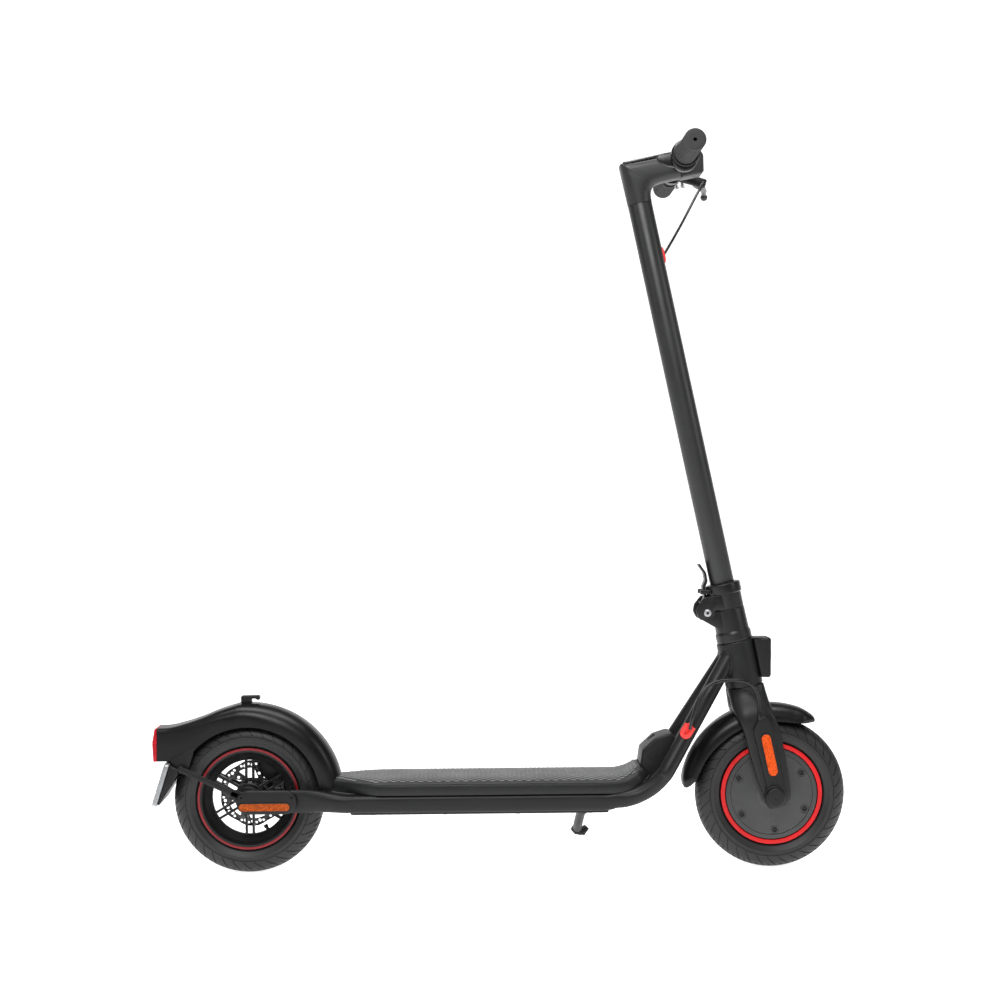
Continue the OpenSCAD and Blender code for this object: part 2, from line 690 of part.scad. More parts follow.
module motor_cable() {
  color("#111111") road() cord([for (p = motor_route) p + [wheelbase - 862, 0, axle_z - 124]], 2.7);
}

// ---- Stem, folding back on the hinge ----
module stem_collar() {
  color("#333333") steering() difference() {
    union() {
      translate([0, 0, split_s + gap]) cylinder(r = collar_r, h = collar_top - split_s - gap);
      translate([0, 0, collar_top]) cylinder(r = collar_r + 2, h = ring_top - collar_top);
      translate([pivot_x, 0, pivot_s]) y_cyl(knuckle_r, -knuckle_hw, knuckle_hw);
      box([pivot_x, -14], [-knuckle_hw, knuckle_hw], [split_s + gap, pivot_s + 10]);
    }
    translate([0, 0, split_s + 8]) cylinder(r = stem_r + 0.05, h = 100);
    both() translate([pivot_x, 0, pivot_s]) y_cyl(ear_r + 1, knuckle_hw + 0.01, 40);
    translate([pivot_x, 0, pivot_s]) y_cyl(pin_r + run_fit, -40, 40);
  }
}
module stem_tube() {
  color("#2b2b2b") steering() difference() {
    translate([0, 0, split_s + 8.1]) cylinder(r = stem_r, h = stem_top - split_s - 8.1);
    translate([0, 0, split_s]) cylinder(r = stem_r - stem_wall, h = stem_top);
    translate([0, 0, cable_in_s]) rotate([0, 90, 0]) cylinder(r = 4, h = 50);
  }
}
cable_in_s = bar_s - 139;
module head_outline() {
  polygon([[-stem_r - 0.5, 2], [-stem_r - 0.5, 64], [-15, 68], [bar_fwd - 0.2, 68], [bar_fwd - 0.2, 23],
    [50, 25], [42, 27], [34, 23], [27, 15], [stem_r + 1, 2]]);
}
module stem_head() {
  color("#222222") steering() difference() {
    union() {
      translate([0, 0, stem_top - 1.5]) slab(-head_hw, head_hw) head_outline();
      translate([0, 0, stem_top - 40]) cylinder(r = stem_r - stem_wall - 0.1, h = 50);
    }
    translate([bar_fwd, 0, bar_s]) y_cyl(bar_r + 0.05, -40, 40);
    translate([0, 0, stem_top - 41]) cylinder(r = stem_r - stem_wall - 3, h = 90);
  }
}
module bar_clamp() {
  color("#222222") steering() difference() {
    translate([0, 0, bar_s]) slab(-head_hw, head_hw)
      polygon([[bar_fwd + 0.2, -24.5], [110, -26], [114, -22], [119, 8], [116, 16], [106, 18.5], [bar_fwd + 0.2, 18.5]]);
    translate([bar_fwd, 0, bar_s]) y_cyl(bar_r + 0.05, -40, 40);
    translate([112, 0, bar_s - 4]) rotate([0, 90, 0]) cylinder(r = 11, h = 20);
  }
}
module dash_panel() {
  color("black") steering() difference() {
    translate([0, 0, bar_s + 18.6]) linear_extrude(dash_t) hull() {
      for (x = [-10, 98], y = [-16, 16]) translate([x, y]) circle(6, $fn = 32);
    }
    translate([6, 0, bar_s + 18]) cylinder(r = 6.5, h = 10);
  }
}
module power_button() {
  color("gray") steering() translate([6, 0, bar_s + 19.9]) cylinder(r = 6.1, h = 3.3);
}
module handlebar() {
  color("#222222") bar_frame() y_ring(bar_r, bar_r - 2.5, -bar_width / 2 + 4, bar_width / 2 - 4);
}
module grips() {
  color("#111111") bar_frame() both() {
    y_ring(grip_r, bar_r + 0.05, grip_in + 0.2, bar_width / 2 - 3.5);
    y_ring(grip_r - 1, 3, bar_width / 2 - 3.5, bar_width / 2);
  }
}

// ---- Controls ----
perch_y = 84;
lever_tilt = 28;
lever_p = [50, perch_y + 18, 0];
module lever_frame() { bar_frame() rotate([0, lever_tilt, 0]) children(); }
module brake_perch() {
  color("#222222") lever_frame() difference() {
    union() {
      y_cyl(bar_r + 5, perch_y, perch_y + 20);
      box([6, 60], [perch_y, perch_y + 8], [-8.3, 8.3]);
      translate(lever_p + [0, 0, 4.3]) cylinder(r = 7, h = 4);
      translate(lever_p + [0, 0, -8.3]) cylinder(r = 7, h = 4);
      box([36, 57], [perch_y + 7, perch_y + 18], [4.3, 8.3]);
      box([36, 57], [perch_y + 7, perch_y + 18], [-8.3, -4.3]);
      translate(lever_p + [0, 0, -8]) cylinder(r = 3, h = 16);
    }
    y_cyl(bar_r + 0.05, 0, 200);
  }
}
module brake_lever() {
  color("gray") lever_frame() translate(lever_p) difference() {
    union() {
      translate([0, 0, -4]) cylinder(r = 7, h = 8);
      translate([0, 0, -4]) linear_extrude(8) polygon([[-6, 0], [7, -2], [14, 26], [20, 60], [20, 88], [12, 88],
        [11, 60], [3, 30]]);
      translate([16, 90, 0]) sphere(6);
    }
    translate([0, 0, -5]) cylinder(r = 3 + run_fit, h = 10);
  }
}
// Brake cable: from the front of the perch straight down into the front of the stem
cable_from = [56 * cos(lever_tilt), perch_y + 3, -56 * sin(lever_tilt) - 8.6];
module brake_cable() {
  a = cable_from;
  b = [stem_r + 5 - bar_fwd, 3, cable_in_s - bar_s + 4];
  c = [stem_r - bar_fwd - 3, 1, cable_in_s - bar_s - 1];
  color("#111111") bar_frame() cord([a, a + [1, -2, -9], 0.75 * a + 0.25 * b, 0.4 * a + 0.6 * b, b, c], 2.2);
}
module throttle_housing() {
  color("#222222") bar_frame() difference() {
    y_cyl(21, -grip_in, -grip_in + 16);
    y_cyl(bar_r + 0.05, -grip_in - 1, -grip_in + 20);
  }
}
module throttle_paddle() {
  color("gray") bar_frame() difference() {
    union() {
      y_cyl(18, -grip_in + 16.3, -grip_in + 24);
      slab(-grip_in + 16.3, -grip_in + 24) polygon([[-10, -4], [-34, -22], [-42, -26], [-44, -22], [-38, -14],
        [-16, 8]]);
    }
    y_cyl(bar_r + run_fit, -grip_in + 10, -grip_in + 30);
  }
}
// Folding lever: cheeks and a hook round the hinge ears, and a blade up the back of the stem
module fold_lever() {
  color("#222222") hinge_frame() {
    difference() {
      union() {
        both() y_cyl(ear_r + 4.5, ear_hw + gap, ear_hw + 3.7);
        turned(80, 32) translate([ear_r + 1, -ear_hw - 3.7]) square([3.5, 2 * ear_hw + 7.4]);
      }
      y_cyl(pin_r + run_fit, -40, 40);
    }
    slab(-11, 11) polygon([[3.1, 15.2], [6, 24], [6, 42], [12, 52], [12, 68], [5, 80], [1, 78], [8, 66], [8, 54],
      [1, 43], [1, 26], [-3, 18.2], [-2, 15.4]]);
  }
}

frame_rail_left();
frame_rail_right();
head_tube();
headset_bearings();
deck_tray();
deck_top();
deck_mat();
bottom_cover();
bottom_screws();
battery_pack();
controller();
neck_cover();
charge_cap();
rear_arm_left();
rear_arm_right();
rear_axle_covers();
rear_side_reflectors();
rear_axle();
rear_fender();
fender_stays();
fender_hook();
tail_lens();
plate_holder();
number_plate();
kickstand_bracket();
kickstand_leg();
brake_caliper();
caliper_arm();
rear_brake_cable();
front_marker();
frame_grommet();
rear_tyre();
rear_rim();
rear_bearings();
brake_rotor();
fork();
fork_reflectors();
front_fender();
motor_stator();
hinge_base();
hinge_pin();
motor_cable();
front_tyre();
motor_shell();
motor_covers();
cover_screws();
stem_collar();
stem_tube();
stem_head();
bar_clamp();
dash_panel();
handlebar();
grips();
brake_perch();
brake_cable();
throttle_housing();
throttle_paddle();
brake_lever();
fold_lever();
power_button();
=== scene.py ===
"""Looks of a folding electric kick scooter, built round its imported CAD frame.

Lengths are millimetres in local frames, each a matrix that places them in the model:
ROAD has its origin under the rear axle, STEER on the steering axis at axle height with Z up along the
stem, BAR at the middle of the handlebar, HINGE on the fold pivot, and the two HUBs on the axles.
"""
import json
import math

import bmesh
import bpy
import numpy as np
from mathutils import Matrix, Vector


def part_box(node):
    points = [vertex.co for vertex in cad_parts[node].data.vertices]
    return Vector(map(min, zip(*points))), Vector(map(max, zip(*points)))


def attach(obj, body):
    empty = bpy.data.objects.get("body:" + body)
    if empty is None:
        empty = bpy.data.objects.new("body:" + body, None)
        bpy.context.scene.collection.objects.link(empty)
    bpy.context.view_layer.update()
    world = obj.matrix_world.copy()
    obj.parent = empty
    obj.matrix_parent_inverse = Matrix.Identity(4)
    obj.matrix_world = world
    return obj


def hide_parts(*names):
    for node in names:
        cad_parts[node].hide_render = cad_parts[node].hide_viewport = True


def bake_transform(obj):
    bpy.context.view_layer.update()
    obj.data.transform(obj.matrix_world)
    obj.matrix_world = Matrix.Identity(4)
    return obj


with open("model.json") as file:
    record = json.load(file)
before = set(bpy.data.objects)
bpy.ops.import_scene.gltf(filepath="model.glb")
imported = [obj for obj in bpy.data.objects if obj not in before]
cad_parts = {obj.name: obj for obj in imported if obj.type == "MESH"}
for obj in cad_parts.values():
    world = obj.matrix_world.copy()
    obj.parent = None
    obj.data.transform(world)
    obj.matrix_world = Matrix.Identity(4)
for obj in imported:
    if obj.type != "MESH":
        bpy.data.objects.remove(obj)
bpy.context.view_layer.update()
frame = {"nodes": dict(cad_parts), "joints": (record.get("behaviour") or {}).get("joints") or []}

MM = 0.001
TURN = 2 * math.pi


# ---- Frames ----
def middle(node):
    low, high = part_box(node)
    return (low + high) / 2


def joint(name):
    return next(j for j in frame["joints"] if j["name"] == name)


def size(node):
    low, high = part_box(node)
    return (high - low) / MM


REAR, FRONT = middle("rear_tyre"), middle("front_tyre")
TYRE_R = size("rear_tyre").z / 2
TYRE_HW = size("rear_tyre").y / 2
scale = Matrix.Scale(MM, 4)
ROAD = Matrix.Translation((REAR.x, 0, 0)) @ scale
REAR_HUB = Matrix.Translation(REAR) @ scale
FRONT_HUB = Matrix.Translation(FRONT) @ scale
axis = Vector(joint("steer")["axis"])
RAKE = math.atan2(-axis.x, axis.z)
lean = Matrix.Rotation(-RAKE, 4, "Y")
steer_at = Vector(joint("steer")["pos_m"])
steer_at += axis * ((REAR.z - steer_at.z) / axis.z)
STEER = Matrix.Translation(steer_at) @ lean @ scale
BAR = Matrix.Translation(middle("handlebar")) @ lean @ scale
HINGE = Matrix.Translation(Vector(joint("fold")["pos_m"])) @ lean @ scale
LEVER_TILT = math.radians(28)
LEVER = BAR @ Matrix.Rotation(LEVER_TILT, 4, "Y")


def in_frame(place, point):
    """A model point, in metres, in the millimetres of a local frame."""
    return place.inverted() @ Vector(point)


BAR_S = in_frame(STEER, middle("handlebar")).z
BAR_FWD = in_frame(STEER, middle("handlebar")).x
PIVOT = in_frame(STEER, joint("fold")["pos_m"])


# ---- Shader arithmetic ----
class Signal:
    """One output of a shader tree. Adding to it or multiplying it makes the Math node that does so."""

    def __init__(self, finish, socket):
        self.finish, self.socket = finish, socket

    def math(self, operation, other):
        return self.finish.node("ShaderNodeMath", {"operation": operation}, {0: self, 1: other})

    def __add__(self, other):
        return self.math("ADD", other)

    def __mul__(self, other):
        return self.math("MULTIPLY", other)


class Finish:
    """A material with one Principled shader, its nodes made by node() and its varying inputs by feed()."""

    def __init__(self, name, colour, roughness=0.5, metallic=0.0, **fixed):
        self.material = bpy.data.materials.new(name)
        self.material.use_nodes = True
        self.tree = self.material.node_tree
        self.shader = self.tree.nodes["Principled BSDF"]
        self.set_input("Base Color", (*colour, 1))
        self.set_input("Roughness", roughness)
        self.set_input("Metallic", metallic)
        for socket, value in fixed.items():
            self.set_input(socket.replace("_", " "), value)

    def set_input(self, socket, value):
        self.shader.inputs[socket].default_value = value

    def node(self, kind, settings=None, inputs=None, output=0):
        made = self.tree.nodes.new(kind)
        for key, value in (settings or {}).items():
            setattr(made, key, value)
        for key, value in (inputs or {}).items():
            if isinstance(value, Signal):
                self.tree.links.new(value.socket, made.inputs[key])
            else:
                made.inputs[key].default_value = value
        return Signal(self, made.outputs[output])

    def feed(self, socket, signal):
        self.tree.links.new(signal.socket, self.shader.inputs[socket])

    def place(self):
        return self.node("ShaderNodeTexCoord", output="Object")

    def from_point(self, centre):
        return self.node("ShaderNodeVectorMath", {"operation": "SUBTRACT"},
                         {0: self.place(), 1: tuple(centre)})

    def noise(self, per_metre, detail=3.0, at=None):
        return self.node("ShaderNodeTexNoise", None, {
            "Vector": at or self.place(), "Scale": per_metre, "Detail": detail})

    def cells(self, per_metre):
        return self.node("ShaderNodeTexVoronoi", None, {"Vector": self.place(), "Scale": per_metre})

    def ease(self, signal, low, high, to_low=0.0, to_high=1.0):
        return self.node("ShaderNodeMapRange", {"interpolation_type": "SMOOTHSTEP"},
                         {0: signal, 1: low, 2: high, 3: to_low, 4: to_high})

    def mix(self, amount, first, second):
        return self.node("ShaderNodeMix", {"data_type": "RGBA"},
                         {0: amount, 6: (*first, 1) if isinstance(first, tuple) else first,
                          7: (*second, 1) if isinstance(second, tuple) else second}, output=2)

    def bump(self, height, distance, strength=0.4):
        normal = self.node("ShaderNodeBump", None,
                           {"Strength": strength, "Distance": distance, "Height": height})
        self.feed("Normal", normal)

    def edges(self):
        """1 on worn convex edges, 0 elsewhere."""
        sharp = self.node("ShaderNodeNewGeometry", output="Pointiness")
        return self.ease(sharp, 0.52, 0.58)


def shade(colour, factor):
    return tuple(min(1, c * factor) for c in colour)


def coating(name, colour, roughness, grain=2200, depth=0.00008, wear=0.35, metallic=0.0, **fixed):
    """Powder coat or moulded plastic: fine orange-peel grain, faint cloudiness, and paler rubbed edges."""
    f = Finish(name, colour, roughness, metallic, **fixed)
    cloud = f.ease(f.noise(per_metre=14, detail=4), 0.3, 0.7)
    fine = f.noise(grain, detail=2)
    rubbed = f.edges() * f.ease(f.noise(per_metre=120, detail=3), 0.45, 0.65) * wear
    tone = f.mix(cloud, shade(colour, 0.86), shade(colour, 1.14))
    f.feed("Base Color", f.mix(rubbed, tone, shade(colour, 3.2)))
    f.feed("Roughness", cloud * 0.08 + fine * 0.06 + (roughness - 0.07))
    f.bump(fine, depth)
    return f.material


def brushed(name, colour, roughness, centre=None, along=(1, 1, 40), wear=0.2):
    """Machined metal. With a centre, the brush marks run in rings about the Y axis through it."""
    f = Finish(name, colour, roughness, 1.0)
    if centre is None:
        at = f.node("ShaderNodeVectorMath", {"operation": "MULTIPLY"}, {0: f.place(), 1: along})
        marks = f.noise(per_metre=160, detail=4, at=at)
    else:
        flat = f.node("ShaderNodeVectorMath", {"operation": "MULTIPLY"},
                      {0: f.from_point(centre), 1: (1, 0, 1)})
        radius = f.node("ShaderNodeVectorMath", {"operation": "LENGTH"}, {0: flat}, output="Value")
        at = f.node("ShaderNodeCombineXYZ", None, {0: radius, 1: 0.0, 2: 0.0})
        marks = f.noise(per_metre=1800, detail=3, at=at)
    stain = f.ease(f.noise(per_metre=30, detail=4), 0.35, 0.75)
    f.feed("Base Color", f.mix(stain * wear + marks * 0.25, shade(colour, 1.1), shade(colour, 0.55)))
    f.feed("Roughness", marks * 0.2 + (roughness - 0.1))
    f.bump(marks, 0.00005, 0.3)
    return f.material


def rubber(name, colour, roughness, dust=0.25, grain=900):
    """Matt rubber with a soft bloom of dust in random patches."""
    f = Finish(name, colour, roughness)
    cloud = f.ease(f.noise(per_metre=22, detail=5), 0.35, 0.75)
    fine = f.noise(grain, detail=4)
    f.feed("Base Color", f.mix(cloud * dust, colour, shade(colour, 1.9)))
    f.feed("Roughness", fine * 0.12 + (roughness - 0.06))
    f.bump(fine, 0.0001, 0.35)
    return f.material


def prism_plastic(name, colour, cell, glow=0.0):
    """Moulded reflector: clear coat over a bed of small cells, each with a painted glint at its centre and
    painted shade at its rim.
    """
    f = Finish(name, colour, 0.4, Coat_Weight=0.08, Coat_Roughness=0.1, Specular_IOR_Level=0.2)
    beads = f.cells(1 / cell)
    # Painted glint: each cell's centre is painted brighter and its rim darker, standing in for light on the
    # facets.
    painted_glint = f.ease(beads, 0.15, 0.6, 1.0, 0.0)
    f.feed("Base Color", f.mix(painted_glint, shade(colour, 0.6), shade(colour, 1.2)))
    f.bump(beads, 0.0004, 0.5)
    # Emission: the tail lamp's own glow, and painted light on the amber reflector, which is no lamp.
    if glow:
        f.set_input("Emission Color", (*colour, 1))
        f.set_input("Emission Strength", glow)
    return f.material


FRAME_PAINT = coating("frame_paint", (0.007, 0.0072, 0.0076), 0.42, Specular_IOR_Level=0.3)
STEM_PAINT = coating("stem_paint", (0.008, 0.0083, 0.0087), 0.42, wear=0.15, Specular_IOR_Level=0.6)
CAST_PAINT = coating("cast_paint", (0.007, 0.0072, 0.0076), 0.40, Specular_IOR_Level=0.3)
PLASTIC = coating("black_plastic", (0.006, 0.006, 0.0064), 0.46, grain=1500, depth=0.0001, wear=0.15,
                  Specular_IOR_Level=0.3)
FENDER_PLASTIC = coating("fender_plastic", (0.003, 0.003, 0.0032), 0.34, grain=2600, depth=0.00004, wear=0.1,
                         Specular_IOR_Level=0.28)
FINE_METAL = coating("black_metal", (0.008, 0.008, 0.0084), 0.34, wear=0.35, Specular_IOR_Level=0.38)
DECK_PAINT = coating("deck_paint", (0.009, 0.0093, 0.0097), 0.45, Specular_IOR_Level=0.3)
HUB_PAINT = coating("hub_grey", (0.040, 0.0405, 0.041), 0.42, grain=1700, metallic=0.2, wear=0.2)
RIM_PAINT = coating("rim_paint", (0.008, 0.008, 0.0084), 0.4, Specular_IOR_Level=0.3)
RED_PAINT = coating("red_enamel", (0.60, 0.005, 0.007), 0.36, wear=0.03, Specular_IOR_Level=0.3)
DARK_RED = coating("dark_red_enamel", (0.20, 0.004, 0.009), 0.38, wear=0.05, Specular_IOR_Level=0.4)
RED_RUBBER = rubber("red_rubber", (0.80, 0.035, 0.030), 0.5, dust=0.05)
TYRE_RUBBER = rubber("tyre_rubber", (0.006, 0.006, 0.0063), 0.5)
# Pale grey for the deck studs: a painted sheen over what is dark rubber, like the mat's ground.
STUD_RUBBER_PAINTED_SHEEN = rubber("mat_rubber_painted_sheen", (0.17, 0.171, 0.173), 0.6, dust=0.3)
MAT_GROUND = rubber("mat_ground", (0.03, 0.03, 0.031), 0.62)
GRIP_RUBBER = rubber("grip_rubber", (0.022, 0.022, 0.0225), 0.6, dust=0.35)
CABLE_JACKET = coating("cable_jacket", (0.003, 0.003, 0.003), 0.3, grain=3000, wear=0.05)
STEEL = brushed("zinc_steel", (0.60, 0.60, 0.62), 0.34)
ROTOR_STEEL = brushed("rotor_steel", (0.11, 0.11, 0.115), 0.36, centre=REAR)
LEVER_ALLOY = coating("lever_alloy", (0.035, 0.036, 0.037), 0.3, metallic=0.3, wear=0.4)
DARK_STEEL = brushed("dark_steel", (0.035, 0.035, 0.037), 0.42)
# The amber fork reflector is no lamp: its glow is painted light.
AMBER = prism_plastic("amber", (0.86, 0.095, 0.004), 0.0026, glow=0.1)
DARK_AMBER = prism_plastic("dark_amber", (0.50, 0.085, 0.004), 0.0026)
TAIL_RED = prism_plastic("tail_red", (0.55, 0.006, 0.016), 0.0032, glow=0.12)
GLASS_BLACK = coating("dash_gloss", (0.006, 0.006, 0.007), 0.12, grain=600, depth=0.00001, wear=0.0,
                      Coat_Weight=1.0)
SATIN_BLACK = coating("satin_black", (0.007, 0.007, 0.0075), 0.28, grain=1500, depth=0.00004, wear=0.1)
PLATE_GREY = coating("plate_grey", (0.30, 0.31, 0.32), 0.36, metallic=0.5)
LAMP_CLEAR = prism_plastic("lamp_clear", (0.42, 0.43, 0.44), 0.004)
LAMP_DARK = prism_plastic("lamp_dark", (0.05, 0.05, 0.055), 0.004)
BUTTON_GREY = coating("button_plastic", (0.07, 0.07, 0.072), 0.45, grain=1500)
BATTERY_WRAP = coating("battery_wrap", (0.03, 0.09, 0.30), 0.3)
COPPER = brushed("motor_copper", (0.45, 0.25, 0.12), 0.4, centre=FRONT)


# ---- Mesh tools ----
def put(name, shape, place, body, material, replaces=(), crease=32):
    """A piece made of (vertices, faces) in a local frame, smooth but for its creases, riding on its body."""
    verts, faces = shape
    matrix = np.array(place)
    points = np.asarray(verts, float) @ matrix[:3, :3].T + matrix[:3, 3]
    mesh = bpy.data.meshes.new(name)
    mesh.from_pydata(points.tolist(), [], faces)
    work = bmesh.new()
    work.from_mesh(mesh)
    bmesh.ops.remove_doubles(work, verts=work.verts, dist=1e-7)
    bmesh.ops.recalc_face_normals(work, faces=work.faces)
    work.to_mesh(mesh)
    work.free()
    mesh.shade_smooth()
    mesh.set_sharp_from_angle(angle=math.radians(crease))
    mesh.materials.append(material)
    piece = bpy.data.objects.new(name, mesh)
    bpy.context.scene.collection.objects.link(piece)
    if body:
        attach(piece, body)
    if replaces:
        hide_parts(*replaces)
    return piece


def join(*shapes):
    verts, faces = [], []
    for v, f in shapes:
        faces += [[i + len(verts) for i in face] for face in f]
        verts += [tuple(p) for p in v]
    return verts, faces


def moved(shape, matrix):
    return [tuple(matrix @ Vector(v)) for v in shape[0]], shape[1]


def spun(shape, count, start=0.0):
    """Copies of a shape round the Y axis."""
    return join(*[moved(shape, Matrix.Rotation(-math.radians(start + 360 * k / count), 4, "Y"))
                  for k in range(count)])


def mirrored(shape):
    """The shape for the other side of the machine."""
    return [(x, -y, z) for x, y, z in shape[0]], [list(reversed(f)) for f in shape[1]]


def pair(shape):
    """The shape on both sides of the machine."""
    return join(shape, mirrored(shape))


def skin(rings, close_ring=True, caps=True, close_ends=False):
    """Faces between equal rings of points; caps fill both ends, close_ends joins the last ring to the first."""
    n = len(rings[0])
    verts = [tuple(p) for ring in rings for p in ring]
    spans = len(rings) if close_ends else len(rings) - 1
    wide = n if close_ring else n - 1
    faces = []
    for i in range(spans):
        a, b = i * n, ((i + 1) % len(rings)) * n
        faces += [[a + k, a + (k + 1) % n, b + (k + 1) % n, b + k] for k in range(wide)]
    if caps and not close_ends:
        faces += [list(range(n))[::-1], list(range((len(rings) - 1) * n, len(rings) * n))]
    return verts, faces


def lathe(profile, steps=96):
    """A closed profile of (radius, y) turned about the Y axis."""
    turns = [math.radians(360.0 * i / steps) for i in range(steps)]
    return skin([[(r * math.cos(a), y, r * math.sin(a)) for r, y in profile] for a in turns], close_ends=True)


def upright(profile, steps=96):
    """A closed profile of (radius, z) turned about the Z axis."""
    rings = [[(r * math.cos(a), r * math.sin(a), z) for r, z in profile]
             for a in (TURN * i / steps for i in range(steps))]
    return skin(rings, close_ends=True)


class Outline(list):
    """A closed outline that rounds its corners, (x, z) or (x, z, own radius), and can be redrawn further in."""

    def __init__(self, corners, radius, steps, inward=0.0):
        super().__init__()
        self.recipe = corners, radius, steps
        points = [Vector(c[:2]) for c in corners]
        shifted = inset(points, inward) if inward else points
        turns = sum(p.x * q.y - p.y * q.x for p, q in zip(points, points[1:] + points[:1]))
        for i, corner in enumerate(corners):
            p, back, on = (Vector(shifted[j % len(corners)]) for j in (i, i - 1, i + 1))
            own = corner[2] if len(corner) > 2 else radius
            before, after = points[i] - points[i - 1], points[(i + 1) % len(points)] - points[i]
            bend = before.angle(after)
            if own <= 0 or bend < 0.02:
                self.append(tuple(p))
                continue
            outward = before.cross(after) * turns > 0
            reach = max(0, own - inward if outward else own + inward) * math.tan(bend / 2)
            back, on = back - p, on - p
            reach = min(reach, 0.48 * back.length, 0.48 * on.length)
            a, b = p + back.normalized() * reach, p + on.normalized() * reach
            for k in range(steps + 1):
                t = k / steps
                self.append(tuple(a * (1 - t) ** 2 + p * 2 * t * (1 - t) + b * t * t))


def rounded(corners, radius=1.0, steps=5):
    """An outline whose corners, (x, z) or (x, z, own radius), are turned into arcs."""
    return Outline(corners, radius, steps)


def inset(outline, by):
    """The outline moved inward by a small distance."""
    if isinstance(outline, Outline):
        return Outline(*outline.recipe, by)
    n = len(outline)
    area = sum(outline[i - 1][0] * outline[i][1] - outline[i][0] * outline[i - 1][1] for i in range(n))
    side = 1 if area > 0 else -1
    sharpest = 0.35
    out = []
    for i in range(n):
        p, a, b = Vector(outline[i]), Vector(outline[i - 1]), Vector(outline[(i + 1) % n])
        u, v = (p - a).normalized(), (b - p).normalized()
        m, q = Vector((-u.y, u.x)) * side, Vector((-v.y, v.x)) * side
        out.append(tuple(p + (m + q) * (by / max(sharpest, 1 + m.dot(q)))))
    return out


def prism(outline, low, high, soft=0.8, steps=3):
    """An outline in X and Z from low to high along Y, with rounded rims."""
    rings = []
    for k in range(steps + 1):
        a = math.pi / 2 * k / steps
        ring = inset(outline, soft * (1 - math.sin(a))) if soft else outline
        rings.append([(x, low + soft * (1 - math.cos(a)), z) for x, z in ring])
    rings += [[(x, low + high - y, z) for x, y, z in ring] for ring in reversed(rings)]
    return skin(rings)


def block(outline, low, high, soft=0.8, steps=3):
    """An outline in X and Y from low to high along Z, with rounded rims."""
    verts, faces = prism(outline, low, high, soft, steps)
    return [(x, z, y) for x, y, z in verts], faces


def disc(radius, low, high, soft=0.6, steps=64):
    """A round bar along Y with rounded edges."""
    quarter = [math.pi / 2 * k / 3 for k in range(4)]
    rim = [(radius - soft * (1 - math.sin(a)), low + soft * (1 - math.cos(a))) for a in quarter]
    rim += [(r, low + high - y) for r, y in reversed(rim)]
    rings = [[(r * math.cos(TURN * i / steps), y, r * math.sin(TURN * i / steps)) for i in range(steps)]
             for r, y in rim]
    return skin(rings)


def tube_ring(radius, bore, low, high, soft=0.6, steps=96):
    """A ring along Y with rounded edges."""
    return lathe(rounded([(bore, low), (radius, low), (radius, high), (bore, high)], soft, 3), steps)


def spline(rows, steps):
    """Rows of numbers along a smooth curve through the given rows, by Catmull and Rom's rule."""
    last = len(rows) - 1
    out = []
    for i in range(last):
        a, b, c, d = rows[max(i - 1, 0)], rows[i], rows[i + 1], rows[min(i + 2, last)]
        for k in range(steps):
            t = k / steps
            out.append(0.5 * (2 * b + (c - a) * t + (2 * a - 5 * b + 4 * c - d) * t * t
                              + (3 * b - a - 3 * c + d) * t ** 3))
    return out + [rows[-1]]


def smooth_path(points, per_span=6):
    """A curve through the points."""
    return spline([Vector(q) for q in points], per_span)


def sweep(points, radius, sides=16, closed=False):
    """A round tube along points; radius may be one number or one for each point."""
    points = [Vector(p) for p in points]
    n = len(points)
    radii = radius if isinstance(radius, (list, tuple)) else [radius] * n
    rings, up = [], None
    for i, p in enumerate(points):
        ahead = points[(i + 1) % n if closed else min(i + 1, n - 1)]
        behind = points[i - 1 if closed or i else 0]
        way = (ahead - behind).normalized()
        if up is None:
            up = way.orthogonal().normalized()
        up = (up - way * up.dot(way)).normalized()
        across = way.cross(up)
        rings.append([p + radii[i] * (math.cos(TURN * k / sides) * up + math.sin(TURN * k / sides) * across)
                      for k in range(sides)])
    return skin(rings, close_ends=closed)


def squarish(k, sides, power):
    """Step k of a walk round a unit circle, pushed out towards a square as the power rises above 2."""
    turn = TURN * k / sides
    return (math.copysign(abs(t) ** (2 / power), t) for t in (math.cos(turn), math.sin(turn)))


def oval_ring(back, front, y_mid, half_y, power, sides=40):
    """A squarish oval across the Y axis, between two points (x, z) of a side view."""
    a, b = Vector(back), Vector(front)
    mid, half = (a + b) / 2, (b - a) / 2
    ring = []
    for k in range(sides):
        u, w = squarish(k, sides, power)
        p = mid + half * u
        ring.append((p.x, y_mid + w * half_y, p.y))
    return ring


def body_of(stations, sides=40, steps=6):
    """A smooth closed form through stations (back x, back z, front x, front z, y middle, half y, power)."""
    rings = []
    for row in spline(np.array(stations, float), steps):
        half_y, power = max(row[5], 0.05), max(row[6], 1.5)
        rings.append(oval_ring((row[0], row[1]), (row[2], row[3]), row[4], half_y, power, sides))
    return skin(rings)


def carve(piece, cutter_shape, place):
    """Cuts a shape out of a finished piece."""
    cutter = put(piece.name + "_cutter", cutter_shape, place, None, piece.data.materials[0])
    cut = piece.modifiers.new("cut", "BOOLEAN")
    cut.operation, cut.solver, cut.object = "DIFFERENCE", "EXACT", cutter
    graph = bpy.context.evaluated_depsgraph_get()
    mesh = bpy.data.meshes.new_from_object(piece.evaluated_get(graph))
    piece.modifiers.clear()
    piece.data = mesh
    mesh.set_sharp_from_angle(angle=math.radians(32))
    bpy.data.objects.remove(cutter)
    return piece


